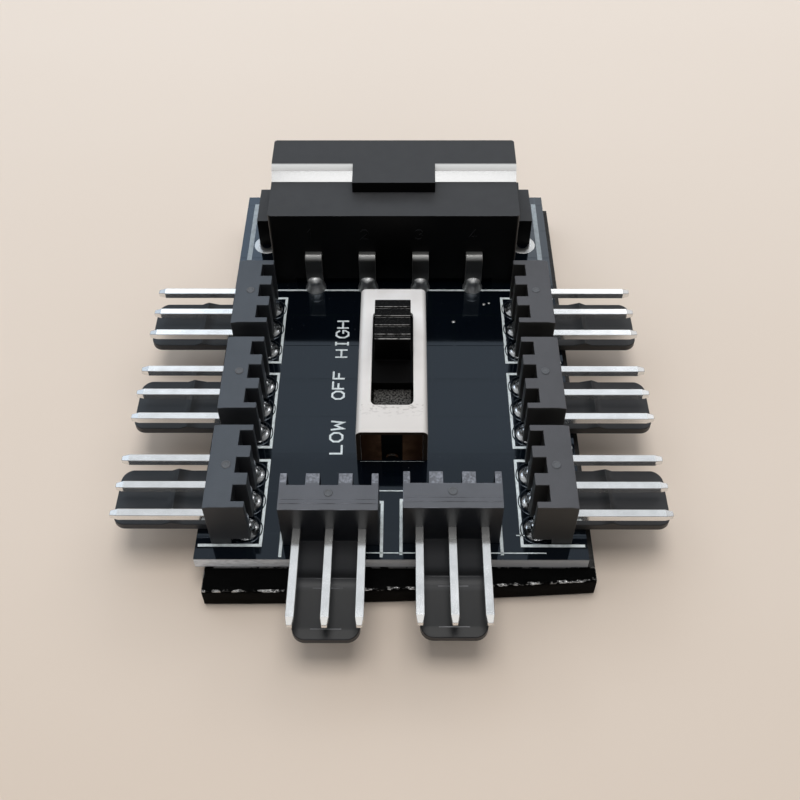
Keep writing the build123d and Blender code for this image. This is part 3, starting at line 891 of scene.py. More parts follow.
def mesh_from(name: str, build: Build) -> Mesh:
    """Close a bmesh into a mesh whose faces point outwards.

    Args:
        name: Name of the mesh.
        build: What it is made of, which is used up.

    Returns:
        The mesh.
    """
    bmesh.ops.remove_doubles(build, verts=build.verts, dist=1e-7)
    bmesh.ops.recalc_face_normals(build, faces=build.faces)
    mesh = bpy.data.meshes.new(name)
    build.to_mesh(mesh)
    build.free()
    return mesh


def smoothed(mesh: Mesh) -> Mesh:
    """Shade every face of a mesh smooth and return the mesh."""
    mesh.polygons.foreach_set("use_smooth", [True] * len(mesh.polygons))
    return mesh


def softened(
    node: str,
    name: str,
    width: float,
    finish: Material,
    body: Body = Body.HUB,
    crease: float = 26.0,
) -> None:
    """Stand in for a node with the same form and eased edges, made by live modifiers.

    Args:
        node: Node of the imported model.
        name: Name of the new piece.
        width: Millimetres across each eased edge.
        finish: Its material.
        body: The body that it rides on.
        crease: Degrees of turn above which an edge stays sharp.
    """
    merge_distance, flat_turn, least_eased_turn = 2e-6, 0.6, 28.0
    build = bmesh.new()
    build.from_mesh(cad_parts[node].data)
    bmesh.ops.remove_doubles(build, verts=build.verts, dist=merge_distance)
    bmesh.ops.dissolve_limit(
        build, angle_limit=math.radians(flat_turn), verts=build.verts, edges=build.edges
    )
    for face in build.faces:
        face.smooth = True
    for edge in build.edges:
        edge.smooth = len(edge.link_faces) == 2 and edge.calc_face_angle() < math.radians(crease)
    mesh = bpy.data.meshes.new(name)
    build.to_mesh(mesh)
    build.free()
    piece = new_piece(name, mesh, finish, body, (node,))
    ease = piece.modifiers.new("eased_edges", "BEVEL")
    ease.width = width * MM
    ease.segments = 2
    ease.limit_method = "ANGLE"
    ease.angle_limit = math.radians(max(crease, least_eased_turn))
    ease.use_clamp_overlap = True
    flats = piece.modifiers.new("true_flats", "WEIGHTED_NORMAL")
    flats.mode = "FACE_AREA"
    flats.weight = 100
    flats.keep_sharp = True


def ribbon(
    build: Build, path: Sequence[Point], width: float, thickness: float, sharpest: float = 0.3
) -> None:
    """Add a flat printed line along a path on the board.

    Args:
        build: Mesh that the line is added to.
        path: Points across and back, in millimetres.
        width: Width of the line.
        thickness: Its thickness.
        sharpest: Cosine of the sharpest half turn that is mitred in full.
    """
    rows = []
    for index, (x, y) in enumerate(path):
        before = Vector(path[max(0, index - 1)])
        after = Vector(path[min(len(path) - 1, index + 1)])
        here = Vector((x, y))
        first = (here - before).normalized() if index else (after - here).normalized()
        second = (after - here).normalized() if index < len(path) - 1 else first
        normal = Vector((-(first + second).y, (first + second).x)).normalized()
        reach = width / 2 / max(sharpest, normal.dot(Vector((-first.y, first.x))))
        sides = (here + normal * reach, here - normal * reach)
        rows.append([build.verts.new(at(*p, z)) for z in (thickness, 0.0) for p in sides])
    for near, far in zip(rows, rows[1:]):
        build.faces.new((near[0], near[1], far[1], far[0]))
        build.faces.new((near[2], far[2], far[3], near[3]))
        build.faces.new((near[0], far[0], far[2], near[2]))
        build.faces.new((near[1], near[3], far[3], far[1]))
    for end in (rows[0], rows[-1]):
        build.faces.new((end[0], end[2], end[3], end[1]))


def lathed(profile: Sequence[Point], steps: int) -> Build:
    """Turn a profile about the upright axis.

    Args:
        profile: Radius and height pairs in millimetres, from one end to the other.
        steps: Facets round the axis.

    Returns:
        The turned mesh about the origin, closed at its poles.
    """
    build = bmesh.new()
    turns = [2 * math.pi * step / steps for step in range(steps)]
    rings = []
    for radius, height in profile:
        reach, level = radius * MM, height * MM
        spots = [(reach * math.cos(turn), reach * math.sin(turn), level) for turn in turns]
        rings.append([build.verts.new(spot) for spot in (spots if radius else [(0, 0, level)])])
    for low, high in zip(rings, rings[1:]):
        for step in range(steps):
            after = (step + 1) % steps
            corners = ((low, step), (low, after), (high, after), (high, step))
            verts = [ring[index % len(ring)] for ring, index in corners]
            build.faces.new(list(dict.fromkeys(verts)))
    return build


BEND = 0.28
STROKES: dict[str, list[list[Point]]] = {
    "F": [[(0, 0), (0, 1), (1, 1)], [(0, 0.52), (0.75, 0.52)]],
    "G": [
        [(1, 1 - BEND), (1 - BEND, 1), (BEND, 1), (0, 1 - BEND), (0, BEND), (BEND, 0)]
        + [(1 - BEND, 0), (1, BEND), (1, 0.45), (0.55, 0.45)]
    ],
    "H": [[(0, 0), (0, 1)], [(1, 0), (1, 1)], [(0, 0.5), (1, 0.5)]],
    "I": [[(0.5, 0), (0.5, 1)], [(0.25, 0), (0.75, 0)], [(0.25, 1), (0.75, 1)]],
    "L": [[(0, 1), (0, 0), (1, 0)]],
    "O": [
        [(0.5, 1), (BEND, 1), (0, 1 - BEND), (0, BEND), (BEND, 0)]
        + [(1 - BEND, 0), (1, BEND), (1, 1 - BEND), (1 - BEND, 1), (0.5, 1)]
    ],
    "W": [[(0, 1), (0.14, 0), (0.5, 0.6), (0.86, 0), (1, 1)]],
    "1": [[(0.2, 0.75), (0.5, 1), (0.5, 0)]],
    "2": [[(0, 0.8), (0.25, 1), (0.75, 1), (1, 0.8), (1, 0.6), (0, 0), (1, 0)]],
    "3": [
        [(0, 0.85), (0.25, 1), (0.75, 1), (1, 0.8), (1, 0.65), (0.7, 0.52)]
        + [(1, 0.4), (1, 0.2), (0.75, 0), (0.25, 0), (0, 0.15)]
    ],
    "4": [[(0.75, 0), (0.75, 1), (0, 0.3), (1, 0.3)]],
}


@dataclass(frozen=True)
class Lettering:
    """Plain letters and figures drawn as thin solid strokes."""

    height: float
    width: float
    advance: float
    stroke: float
    depth: float
    overlap_rise: float = 0.08

    def draw(self, name: str, words: str, place: Matrix) -> Mesh:
        """Draw a line of characters.

        Args:
            name: Name of the mesh.
            words: The characters.
            place: Turn and place of the lower left corner of the line.

        Returns:
            The mesh in the model's frame.
        """
        build = bmesh.new()
        for index, letter in enumerate(words):
            for step, path in enumerate(STROKES[letter]):
                left = index * self.advance
                points = [(left + u * self.width, v * self.height) for u, v in path]
                ribbon(build, points, self.stroke, self.depth * (1 + self.overlap_rise * step))
        mesh = mesh_from(name, build)
        mesh.transform(place @ Matrix.Translation(-at(0, 0)))
        return mesh


class Repeater(NodeTree):
    """Geometry Nodes tree that sets copies of one form on marked places."""

    def __init__(self) -> None:
        """Build the tree, with named inputs for its sizes."""
        super().__init__(bpy.data.node_groups.new("set_out_copies", "GeometryNodeTree"))
        new_socket = self.tree.interface.new_socket
        self.sockets: dict[str, str] = {}
        for name, kind in (
            ("Places", "NodeSocketGeometry"),
            ("Form", "NodeSocketObject"),
            ("Size Spread", "NodeSocketFloat"),
            ("Turn Spread", "NodeSocketFloat"),
            ("Seed", "NodeSocketInt"),
            ("Finish", "NodeSocketMaterial"),
        ):
            socket = new_socket(name, in_out="INPUT", socket_type=kind)
            self.sockets[name] = socket.identifier
        new_socket("Geometry", in_out="OUTPUT", socket_type="NodeSocketGeometry")
        given = self.add("NodeGroupInput").outputs
        form = self.add("GeometryNodeObjectInfo", {"Object": given["Form"]})
        mark = self.add("GeometryNodeInputNamedAttribute", {"Name": "turn"}, data_type="FLOAT")
        wobble = self.chance(given, "Turn Spread", 0.0)
        size = self.chance(given, "Size Spread", 1.0)
        turns = {0: mark.outputs["Attribute"], 1: wobble}
        turn = self.add("ShaderNodeMath", turns, operation="ADD")
        euler = self.add("ShaderNodeCombineXYZ", {"Z": turn.outputs[0]})
        setting = {"Points": given["Places"], "Instance": form.outputs["Geometry"]}
        setting |= {"Rotation": euler.outputs[0], "Scale": size}
        copies = self.add("GeometryNodeInstanceOnPoints", setting).outputs["Instances"]
        real = self.add("GeometryNodeRealizeInstances", {"Geometry": copies}).outputs["Geometry"]
        coat = {"Geometry": real, "Material": given["Finish"]}
        finish = self.add("GeometryNodeSetMaterial", coat).outputs["Geometry"]
        self.add("NodeGroupOutput", {"Geometry": finish})

    def chance(self, given: Any, spread: str, middle: float) -> Socket:
        """Random value about a middle.

        Args:
            given: Sockets of the tree's input node.
            spread: Name of the one that holds the spread.
            middle: The middle.

        Returns:
            The random value.
        """
        low, high = (
            self.add("ShaderNodeMath", {0: middle, 1: given[spread]}, operation=kind).outputs[0]
            for kind in ("SUBTRACT", "ADD")
        )
        inputs = {2: low, 3: high, "Seed": given["Seed"]}
        return self.add("FunctionNodeRandomValue", inputs, data_type="FLOAT").outputs[1]

    def set_out(
        self,
        name: str,
        form: Build,
        places: Sequence[Place],
        finish: Material,
        size_spread: float = 0.0,
        turn_spread: float = 0.0,
        seed: int = 7,
    ) -> Mesh:
        """Set copies of a form on places and return them as one plain mesh.

        Args:
            name: Name of the mesh.
            form: Form about the origin, which is used up.
            places: Point in metres and turn about Z of each copy.
            finish: Material of the copies.
            size_spread: Random change of size.
            turn_spread: Random turn in radians.
            seed: Seed of what is random.

        Returns:
            The mesh in the model's frame.
        """
        source = shown(name + "_form", mesh_from(name + "_form", form))
        points = bpy.data.meshes.new(name + "_places")
        points.from_pydata([point for point, _ in places], [], [])
        turns = points.attributes.new("turn", "FLOAT", "POINT")
        turns.data.foreach_set("value", [turn for _, turn in places])
        holder = shown(name + "_holder", points)
        modifier = holder.modifiers.new("copies", "NODES")
        modifier.node_group = self.tree
        values = {"Form": source, "Size Spread": size_spread, "Turn Spread": turn_spread}
        for socket, value in (values | {"Seed": seed, "Finish": finish}).items():
            modifier[self.sockets[socket]] = value
        bpy.context.view_layer.update()
        graph = bpy.context.evaluated_depsgraph_get()
        mesh = bpy.data.meshes.new_from_object(holder.evaluated_get(graph))
        mesh.name = name
        holder.modifiers.clear()
        bpy.data.objects.remove(holder)
        bpy.data.objects.remove(source)
        return mesh


@dataclass(frozen=True)
class Cones:
    """Turned form of the solder at one side of the board, and how far its copies vary."""

    profile: Sequence[Point]
    facets: int
    size_spread: float
    seed: int
    turn_spread: float = 3.0


@dataclass
class Assembly:
    """One group of the object's pieces, which is dressed in one go."""

    finishes: Finishes
    repeater: Repeater

    def solder(
        self,
        name: str,
        node: str,
        places: Sequence[Place],
        finish: Material,
        above: Cones,
        below: Cones,
    ) -> None:
        """Set a cone of solder round each pin tail, above and below the board.

        Args:
            name: Name of the new piece.
            node: Node of the model that it replaces.
            places: Foot and turn of each cone on the board's top face.
            finish: Its material.
            above: Cones above the board.
            below: Cones below it.
        """
        build = bmesh.new()
        under = [(point + UNDERSIDE, turn) for point, turn in places]
        for side, cones, spots in (("above", above, places), ("below", below, under)):
            form = lathed(cones.profile, cones.facets)
            spreads = (cones.size_spread, cones.turn_spread, cones.seed)
            mesh = self.repeater.set_out(f"{name}_{side}", form, spots, finish, *spreads)
            build.from_mesh(mesh)
        mesh = smoothed(mesh_from(name, build))
        new_piece(name, mesh, finish, Body.HUB, (node,))

    def repeat(
        self,
        name: str,
        form: Build,
        places: Sequence[Place],
        finish: Material,
        slot: Slot,
        spreads: Spreads,
    ) -> None:
        """Make one smooth piece of copies; spreads are those of size and turn, and the seed."""
        mesh = smoothed(self.repeater.set_out(name, form, places, finish, *spreads))
        new_piece(name, mesh, finish)

    def build(self) -> None:
        """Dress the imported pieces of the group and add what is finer."""
        raise NotImplementedError


@dataclass
class FanHeaders(Assembly):
    """Eight right-angle fan headers with their pins, printing, marks and solder."""

    side_face: float = 14.25
    side_rows: Sequence[float] = (5.2, 14.5, 23.8)
    front_across: float = 4.75
    front_left_face: float = 1.25
    front_right_face: float = 1.45
    height: float = 5.42
    top_half: float = 3.7
    tongue_top: float = 0.7
    tongue_half: float = 1.15
    pin_spacing: float = 2.54
    tail_back: float = 2.67
    outline_back: float = 3.9
    outline_out: float = 1.05
    outline_half: float = 3.98
    line_width: float = 0.24
    ink_depth: float = 0.012
    body_ease: float = 0.05
    pin_ease: float = 0.03
    pin_crease: float = 9.0
    gate_back: float = 1.4
    gate_spreads: Spreads = (0.08, 0.5, 3)
    rim_spreads: Spreads = (0.01, 0.0, 5)
    top_ridges_behind: Span = (0.5, 0.84)
    top_ridge_rise: float = 0.03
    tongue_ridges_ahead: Span = (4.02, 7.26)
    tongue_ridge_rises: Span = (0.01, 0.04)
    ridge_half: float = 0.05
    ridge_root: float = 0.04

    def places(self) -> dict[str, tuple[Vector, Side]]:
        """Set out the headers on the board.

        Returns:
            Foot of each one's outward face, and the way it looks, by name.
        """
        found = {}
        for row, y in enumerate(self.side_rows, 1):
            found[f"left_{row}"] = (at(-self.side_face, y), Side.LEFT)
            found[f"right_{row}"] = (at(self.side_face, y), Side.RIGHT)
        found["front_left"] = (at(-self.front_across, self.front_left_face), Side.FRONT)
        found["front_right"] = (at(self.front_across, self.front_right_face), Side.FRONT)
        return found

    def tails(self) -> list[Place]:
        """Set out the pin tails on the board.

        Returns:
            Place and turn of each one.
        """
        found = []
        for point, side in self.places().values():
            out = side.out
            along = Vector((-out.y, out.x, 0))
            for step in (-1, 0, 1):
                across = along * step * self.pin_spacing * MM
                found.append((point - out * self.tail_back * MM + across, side.value))
        return found

    def dress_bodies(self) -> None:
        """Ease the edges of the mouldings and of the pins."""
        made = self.finishes
        # Each side's headers take their own lit or shaded copy of the nylon.
        shades = {"left": made.header_left, "right": made.header_right, "front": made.header_front}
        for name in self.places():
            moulding, shade = f"header_moulding_{name}", shades[name.split("_")[0]]
            softened(f"fan_header_{name}", moulding, self.body_ease, shade)
            for number in (1, 2, 3):
                node, piece = f"fan_pin_{name}_{number}", f"header_pin_{name}_{number}"
                crease = self.pin_crease
                softened(node, piece, self.pin_ease, made.tin, crease=crease)

    def print_outlines(self) -> None:
        """Print the three-sided outline round each header."""
        half, back, out = self.outline_half, -self.outline_back, self.outline_out
        form = bmesh.new()
        path = [(out, -half), (back, -half), (back, half), (out, half)]
        ribbon(form, path, self.line_width, self.ink_depth)
        bmesh.ops.translate(form, verts=form.verts, vec=-at(0, 0))
        places = [(point, side.value) for point, side in self.places().values()]
        mesh = self.repeater.set_out("header_outlines", form, places, self.finishes.ink)
        new_piece("printed_header_outlines", mesh, self.finishes.ink)

    def mark_gates(self) -> None:
        """Set the small moulding mark on top of each header."""
        profile = [(0, -0.01), (0.1, 0.02), (0.16, 0.01), (0.21, 0.02), (0.26, 0.07)]
        profile += [(0.31, 0.065), (0.36, 0.0), (0.36, -0.02), (0, -0.02)]
        finish, up = self.finishes.gate, Vector((0, 0, self.height * MM))
        places = [
            (point + up - side.out * self.gate_back * MM, side.value)
            for point, side in self.places().values()
        ]
        form, spreads = lathed(profile, 20), self.gate_spreads
        self.repeat("header_gate_marks", form, places, finish, Slot.HEADER, spreads)

    def fine_ridge(self, build: Build, span: Span, y: float, level: float, rise: float) -> None:
        """Add one fine ridge that runs across the board.

        Args:
            build: Mesh that the ridge is added to.
            span: Its two ends across the board, in millimetres.
            y: Its place back from the board's front edge.
            level: Height of the face that it stands on.
            rise: How far it stands out of that face.
        """
        half, root = self.ridge_half, level - self.ridge_root
        section = ((y - half, root), (y, level + rise), (y + half, root))
        near, far = ([build.verts.new(at(x, back, up)) for back, up in section] for x in span)
        for first, second in ((0, 1), (1, 2), (2, 0)):
            build.faces.new((near[first], near[second], far[second], far[first]))
        build.faces.new(near)
        build.faces.new(far)

    def ridge_fronts(self) -> None:
        """Lay the mould ridges of the two front headers, across their tops and their tongues; the
        tongue ridges take a pale finish as painted highlights.
        """
        tops, tongues = bmesh.new(), bmesh.new()
        middles = (-self.front_across, self.front_across)
        faces = (self.front_left_face, self.front_right_face)
        for middle, face, tongue_rise in zip(middles, faces, self.tongue_ridge_rises):
            span = (middle - self.top_half, middle + self.top_half)
            for behind in self.top_ridges_behind:
                self.fine_ridge(tops, span, face + behind, self.height, self.top_ridge_rise)
            span = (middle - self.tongue_half, middle + self.tongue_half)
            for ahead in self.tongue_ridges_ahead:
                self.fine_ridge(tongues, span, face - ahead, self.tongue_top, tongue_rise)
        made = self.finishes
        top_mesh, tongue_mesh = mesh_from("top_ridges", tops), mesh_from("tongue_ridges", tongues)
        new_piece("front_header_ridges", top_mesh, made.header_front)
        new_piece("front_tongue_ridges", tongue_mesh, made.bright_edge)

    def solder_tails(self) -> None:
        """Set the solder round the tails, with hollow sides."""
        above = [(0, 0.0), (0.98, 0.0), (0.97, 0.02), (0.74, 0.09), (0.58, 0.24)]
        above += [(0.5, 0.42), (0.46, 0.56), (0.3, 0.62), (0, 0.63)]
        below = [(0, 0.0), (0.94, 0.0), (0.92, -0.03), (0.7, -0.12), (0.52, -0.34)]
        below += [(0.42, -0.55), (0.3, -0.62), (0, -0.64)]
        cones = (Cones(above, 20, 0.05, 11), Cones(below, 16, 0.04, 12))
        finish = self.finishes.solder
        self.solder("fan_tail_solder", "fan_solder_joints", self.tails(), finish, *cones)

    def rim_pads(self) -> None:
        """Raise the rim of the mask round each soldered pad."""
        form = lathed([(1.2, 0.0), (1.22, 0.03), (1.27, 0.035), (1.32, 0.0)], 32)
        finish, spreads = self.finishes.board, self.rim_spreads
        self.repeat("mask_rims_round_pads", form, self.tails(), finish, Slot.BOARD, spreads)

    def build(self) -> None:
        """Make every part of the headers."""
        self.dress_bodies()
        self.print_outlines()
        self.mark_gates()
        self.ridge_fronts()
        self.solder_tails()
        self.rim_pads()


@dataclass
class BoardFace(Assembly):
    """The board, its printing and its bare tinned spots."""

    ink_depth: float = 0.012
    letter: float = 0.175
    letter_share: float = 0.72
    side_line_across: float = 14.55
    side_line_width: float = 0.46
    side_line_span: Span = (33.0, 41.3)
    spot_facets: int = 28
    lines: Sequence[tuple[Sequence[Point], float]] = (
        (((-2.05, 0.58), (12.2, 0.58)), 0.09),
        (((-1.3, 6.23), (1.3, 6.23)), 0.1),
        (((-11.3, 28.86), (11.3, 28.86)), 0.2),
        (((-2.7, 9.1), (2.7, 9.1)), 0.02),
        (((9.93, 2.13), (10.6, 2.13)), 0.1),
        (((10.27, 1.98), (10.27, 2.28)), 0.05),
    )
    words: Sequence[tuple[str, float, float, float, float]] = (
        ("HIGH", 20.35, 24.92, -5.43, -4.14),
        ("OFF", 15.57, 18.84, -5.47, -4.27),
        ("LOW", 9.79, 13.31, -5.43, -4.22),
    )
    spots: Sequence[tuple[float, float, float, float]] = (
        (-12.95, 35.2, 1.27, 0.5),
        (12.95, 35.2, 1.27, 0.5),
        (8.63, 27.03, 0.16, 0.0),
        (9.12, 27.16, 0.14, 0.0),
        (5.64, 24.8, 0.18, 0.0),
    )

    def print_lines(self) -> None:
        """Print the lines that belong to no fan header."""
        ink, grey = self.finishes.ink, self.finishes.grey_ink
        build = bmesh.new()
        for path, width in self.lines:
            ribbon(build, path, width, self.ink_depth)
        new_piece("printed_board_lines", mesh_from("board_lines", build), ink)
        build = bmesh.new()
        for x in (-self.side_line_across, self.side_line_across):
            path = [(x, y) for y in self.side_line_span]
            ribbon(build, path, self.side_line_width, self.ink_depth)
        new_piece("printed_lines_beside_socket", mesh_from("side_lines", build), grey)

    def print_words(self) -> None:
        """Print the switch's three settings, read from the right side."""
        pen = self.letter
        for words, low, high, head, foot in self.words:
            turned = Matrix.Rotation(math.pi / 2, 4, "Z")
            place = Matrix.Translation(at(foot - pen / 2, low + pen / 2)) @ turned
            advance = (high - low - pen) / (len(words) - 1 + self.letter_share)
            width = self.letter_share * advance
            style = Lettering(foot - head - pen, width, advance, pen, self.ink_depth)
            mesh = style.draw(f"word_{words.lower()}", words, place)
            new_piece(f"printed_word_{words.lower()}", mesh, self.finishes.ink)

    def tin_spots(self) -> None:
        """Bare tinned rings beside the socket's ears, and the small test spots."""
        build = bmesh.new()
        for x, y, outer, inner in self.spots:
            profile = [(inner, 0.0), (inner + 0.1, 0.03), (outer - 0.15, 0.03), (outer, 0.0)]
            if inner == 0:
                profile = [(0, 0.05), (outer * 0.8, 0.04), (outer, 0.0), (0, 0.0)]
            ring = lathed(profile, self.spot_facets)
            bmesh.ops.translate(ring, verts=ring.verts, vec=at(x, y))
            spot = bpy.data.meshes.new("spot")
            ring.to_mesh(spot)
            ring.free()
            build.from_mesh(spot)
            bpy.data.meshes.remove(spot)
        mesh = smoothed(mesh_from("tin_spots", build))
        new_piece("tinned_spots", mesh, self.finishes.bare_tin)

    def build(self) -> None:
        """Dress the board and print on it."""
        paint("circuit_board", self.finishes.board)
        self.print_lines()
        self.print_words()
        self.tin_spots()


@dataclass
class FoamPad(Assembly):
    """Foam pad whose glossy skin shows past the front edge."""

    left: float = -14.75
    right: float = 16.1
    left_reach: float = 2.1
    right_reach: float = 1.1
    bow: float = 0.25
    thickness: float = 2.1
    board_thickness: float = 1.2
    stations: int = 420
    pucker: float = 0.08
    corner: float = 0.22
    corner_inset: float = 0.18
    edge_row: float = 10.0
    edge_rows: float = 2.2
    last_flat_row: int = 8
    skin_thickness: float = 0.03
    hem: float = 0.02
    top_lift: float = 0.03
    edge_lift: float = 0.05
    corner_steps: int = 6
    fine_ripple: tuple[float, float, float] = (3.4, 0.6, 1.7)
    coarse_ripple: tuple[float, float, float] = (0.9, 0.25, 8.3)
    coarse_share: float = 0.3
    fine_share: float = 0.1
    fine_edge_share: float = 0.75

    def reach(self, share: float) -> float:
        """How far the pad stands out before the board, at a share of its width from the left."""
        straight = self.left_reach + share * (self.right_reach - self.left_reach)
        return straight + 4 * self.bow * share * (1 - share)

    def outline(self, reach: float) -> list[Point]:
        """Section of the skin.

        Args:
            reach: How far the pad stands out before the board.

        Returns:
            Distance before the board and height above the table of each point.
        """
        top, inset = self.thickness, self.corner_inset
        points = [(-self.hem, top - self.hem), (0.0, top + self.hem)]
        shares = (0.15, 0.3, 0.45, 0.6, 0.72, 0.82)
        points += [(reach * share, top + self.top_lift) for share in shares]
        for step in range(self.corner_steps + 1):
            angle = math.pi / 2 * (1 - step / self.corner_steps)
            out, up = (self.corner * part(angle) for part in (math.cos, math.sin))
            points.append((reach - inset + out, top - inset + up))
        drops = (0.35, 0.6, 0.85, 1.1, 1.35, 1.6, 1.8, 1.95)
        return points + [(reach + self.edge_lift, top - drop) for drop in drops]

    def ripple(self, x: float, row: int, rates: tuple[float, float, float]) -> float:
        """Noise over the skin, at its rates across and along the section and in its layer."""
        across, along, layer = rates
        return noise.noise(Vector((x * across, row * along, layer)))

    def tuck(self, x: float, row: int) -> float:
        """How far the pucker lifts the skin.

        Args:
            x: Millimetres across the board.
            row: Number of the point along the section.

        Returns:
            The lift in millimetres.
        """
        edge = math.exp(-((row - self.edge_row) / self.edge_rows) ** 2)
        fine = self.ripple(x, row, self.fine_ripple)
        coarse = self.coarse_share * self.ripple(x, row, self.coarse_ripple)
        both = coarse + fine * (self.fine_share + self.fine_edge_share * edge)
        return smooth_step(row, 1, 5) * self.pucker * both

    def skin(self) -> Mesh:
        """Pucker a skin over the part of the pad that shows.

        Returns:
            The skin's mesh, which has no thickness yet.
        """
        build = bmesh.new()
        rows = []
        for station in range(self.stations + 1):
            share = station / self.stations
            x = self.left + share * (self.right - self.left)
            row = []
            for index, (out, height) in enumerate(self.outline(self.reach(share))):
                tuck = self.tuck(x, index)
                forward = out + (max(0.0, tuck) if index > self.last_flat_row else 0.0)
                level = height - self.thickness - self.board_thickness + tuck
                row.append(build.verts.new(at(x, -forward, level)))
            rows.append(row)
        for near, far in zip(rows, rows[1:]):
            for index in range(len(near) - 1):
                build.faces.new((near[index], far[index], far[index + 1], near[index + 1]))
        mesh = bpy.data.meshes.new("pad_skin")
        build.to_mesh(mesh)
        build.free()
        return smoothed(mesh)

    def build(self) -> None:
        """Dress the foam and its release film, and lay the skin over the front."""
        for node in ("foam_pad", "pad_release_film"):
            paint(node, self.finishes.foam)
        piece = new_piece("puckered_pad_skin", self.skin(), self.finishes.skin)
        wall = piece.modifiers.new("wall", "SOLIDIFY")
        wall.thickness = self.skin_thickness * MM
        wall.offset = -1.0


@dataclass
class PowerSocket(Assembly):
    """Four-way power socket with its bent tails and their solder."""

    rear: float = 29.85
    tail_axis: float = 29.3
    tails_across: Sequence[float] = (-7.62, -2.54, 2.54, 7.62)
    body_ease: float = 0.07
    contact_ease: float = 0.06
    figure_left: float = 0.5
    figure_level: float = 5.95
    figure_style: Lettering = Lettering(1.15, 0.62, 0.0, 0.12, 0.05)

    def number_ways(self) -> None:
        """Raise a small figure over each tail."""
        upright = Matrix.Rotation(math.pi / 2, 4, "X")
        for number, x in enumerate(self.tails_across, 1):
            corner = at(x - self.figure_left, self.rear, self.figure_level)
            place = Matrix.Translation(corner) @ upright
            mesh = self.figure_style.draw(f"figure_{number}", str(number), place)
            new_piece(f"raised_figure_{number}", mesh, self.finishes.socket)

    def solder_tails(self) -> None:
        """Set the solder round the tails, steep above the board and low below it."""
        above = [(0, 0.0), (0.98, 0.0), (0.97, 0.04), (0.9, 0.22), (0.82, 0.5), (0.73, 0.76)]
        above += [(0.72, 1.0), (0.74, 1.2), (0.66, 1.42), (0.42, 1.58), (0, 1.62)]
        below = [(0, 0.0), (1.16, 0.0), (1.12, -0.05), (0.95, -0.22), (0.86, -0.55)]
        below += [(0.6, -0.66), (0, -0.68)]
        cones = (Cones(above, 28, 0.05, 21), Cones(below, 24, 0.03, 22))
        places = [(at(x, self.tail_axis), 0.0) for x in self.tails_across]
        finish = self.finishes.soft_solder
        self.solder("power_tail_solder", "power_solder_joints", places, finish, *cones)

    def build(self) -> None:
        """Ease the moulding and the contacts, and add the figures and the solder."""
        made = self.finishes
        housing, moulding = "power_socket_housing", "socket_moulding"
        softened(housing, moulding, self.body_ease, made.socket)
        for number in range(1, 5):
            node, piece = f"power_contact_{number}", f"socket_contact_{number}"
            softened(node, piece, self.contact_ease, made.contact)
        self.number_ways()
        self.solder_tails()


@dataclass
class SlideSwitch(Assembly):
    """Three-position slide switch."""

    cover_ease: float = 0.05
    base_ease: float = 0.03
    slider_ease: float = 0.05

    def build(self) -> None:
        """Ease the cover, base and slider, and dress what is inside."""
        made = self.finishes
        for node, piece, ease, finish, slot, body in (
            ("cover", "steel_cover", self.cover_ease, made.cover, Slot.COVER, Body.HUB),
            ("base", "moulded_base", self.base_ease, made.base, Slot.BASE, Body.HUB),
            ("slider", "knob_and_plate", self.slider_ease, made.slider, Slot.SLIDER, Body.SLIDER),
        ):
            softened(f"switch_{node}", f"switch_{piece}", ease, finish, body)
        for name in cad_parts:
            if name.startswith(("switch_terminal", "switch_bridge")):
                paint(name, made.tin)
        paint("switch_solder_joints", made.solder)


@dataclass(frozen=True)
class Lamp:
    """Soft panel that faces the object.

    Attributes:
        name: Name of the lamp.
        azimuth: Degrees round from the front, positive to the right.
        elevation: Degrees above the table.
        size: Width and height in metres.
        radiance: Brightness of its face, where 1 shows as white.
        tint: Its colour.
        distance: Metres from the object.
    """

    name: str
    azimuth: float
    elevation: float
    size: Point
    radiance: float
    tint: Colour
    distance: float = 0.6

    def hang(self) -> None:
        """Hang the lamp in the scene."""
        turn, rise = math.radians(self.azimuth), math.radians(self.elevation)
        flat = math.cos(rise)
        away = Vector((math.sin(turn) * flat, -math.cos(turn) * flat, math.sin(rise)))
        lamp = bpy.data.lights.new(self.name, "AREA")
        lamp.shape = "RECTANGLE"
        lamp.size, lamp.size_y = self.size
        lamp.energy = self.radiance * math.pi * self.size[0] * self.size[1]
        lamp.color = self.tint
        item = shown(self.name, lamp)
        item.location = away * self.distance
        item.rotation_mode = "QUATERNION"
        item.rotation_quaternion = away.to_track_quat("Z", "Y")


LAMPS = (
    Lamp("low_back_panel_left", 207.0, 37.0, (0.6, 0.19), 1.95, (0.76, 0.89, 1.03)),
    Lamp("low_back_panel_right", 153.0, 37.0, (0.6, 0.19), 1.85, (1.0, 1.0, 1.0)),
    Lamp("middle_back_panel", 180.0, 52.0, (1.2, 0.105), 0.74, (0.92, 0.99, 1.06)),
    Lamp("high_back_panel", 180.0, 67.0, (1.2, 0.21), 0.53, (0.93, 0.99, 1.05)),
    Lamp("overhead_panel", 180.0, 86.0, (0.3, 0.26), 6.2, (1.0, 0.99, 0.97)),
    Lamp("left_panel", -95.0, 38.0, (0.6, 0.5), 0.52, (0.97, 0.99, 1.0)),
    Lamp("right_panel", 95.0, 38.0, (0.6, 0.5), 0.2, (1.0, 0.99, 0.97)),
    Lamp("front_panel", 0.0, 12.0, (0.8, 0.15), 1.35, (1.0, 1.0, 1.0)),
    Lamp("camera_lamp", 0.0, 46.5, (0.16, 0.05), 3.1, (1.0, 1.0, 0.99), 0.4),
    Lamp("upper_camera_lamp", 0.0, 60.0, (0.13, 0.19), 1.0, (1.0, 1.0, 1.0), 0.4),
)


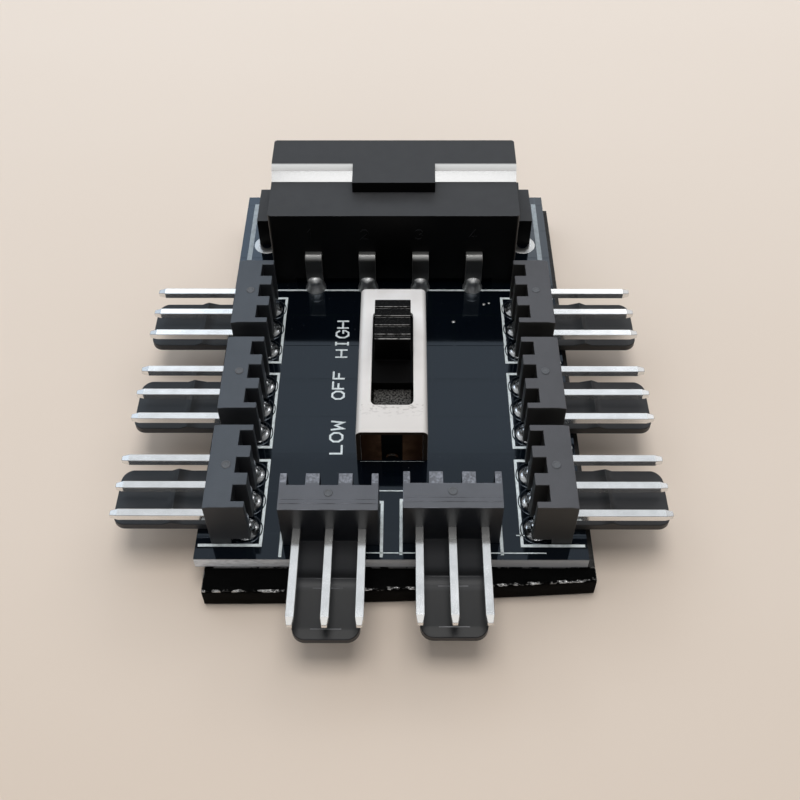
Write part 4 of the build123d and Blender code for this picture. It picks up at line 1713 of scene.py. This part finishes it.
@dataclass
class Studio:
    """Table, lamps and the camera that took the photograph."""

    focal_pixels: float = 1017.192
    centre_row: float = 300.0
    pitch: float = 47.385
    yaw: float = -0.51
    roll: float = 0.344
    eye: tuple[float, float, float] = (1.169, -38.893, 72.252)
    picture: int = 800
    sensor: float = 36.0
    nearest: float = 0.005
    farthest: float = 20.0
    table_half: float = 2.5
    sky: float = 0.11
    sky_colour: Colour = (0.96, 0.98, 1.0)

    def lay_table(self) -> None:
        """Lay a wide plain table under the object."""
        build = bmesh.new()
        bmesh.ops.create_grid(build, x_segments=4, y_segments=4, size=self.table_half)
        table = shown("table", mesh_from("table", build))
        table.data.materials.append(TableTop().make())

    def light(self) -> None:
        """Light the object from a pale room and the lamps."""
        world = bpy.data.worlds.new("pale_room")
        bpy.context.scene.world = world
        world.use_nodes = True
        tree = NodeTree(world.node_tree)
        tree.tree.nodes.clear()
        inputs = {"Color": self.sky_colour, "Strength": self.sky}
        background = tree.add("ShaderNodeBackground", inputs)
        tree.add("ShaderNodeOutputWorld", {0: background.outputs[0]})
        for lamp in LAMPS:
            lamp.hang()

    def set_camera(self) -> None:
        """Stand the camera where the photograph was taken from."""
        pitch, yaw, roll = (math.radians(value) for value in (self.pitch, self.yaw, self.roll))
        flat = math.cos(pitch)
        ahead = Vector((math.sin(yaw) * flat, math.cos(yaw) * flat, -math.sin(pitch)))
        right = Vector((math.cos(yaw), -math.sin(yaw), 0))
        down = ahead.cross(right)
        turned_right = math.cos(roll) * right + math.sin(roll) * down
        turned_down = -math.sin(roll) * right + math.cos(roll) * down
        camera = bpy.data.cameras.new("camera")
        camera.sensor_width = self.sensor
        camera.lens = self.focal_pixels * self.sensor / self.picture
        camera.shift_y = -(self.picture / 2 - self.centre_row) / self.picture
        camera.clip_start = self.nearest
        camera.clip_end = self.farthest
        item = shown("camera", camera)
        columns = (turned_right, -turned_down, -ahead)
        turn = Matrix([[column[row] for column in columns] for row in range(3)]).to_4x4()
        item.matrix_world = Matrix.Translation(at(*self.eye)) @ turn
        bpy.context.scene.camera = item

    def build(self) -> None:
        """Set up the whole studio."""
        bpy.context.scene.view_settings.view_transform = "Standard"
        self.lay_table()
        self.light()
        self.set_camera()


def main() -> None:
    """Build every group in order."""
    logging.basicConfig(level=logging.INFO, format="%(name)s %(message)s")
    Studio().build()
    finishes, repeater = Finishes(), Repeater()
    for group in (BoardFace, FoamPad, FanHeaders, PowerSocket, SlideSwitch):
        LOG.info("building %s", group.__name__)
        group(finishes, repeater).build()


if __name__ == "__main__":
    main()
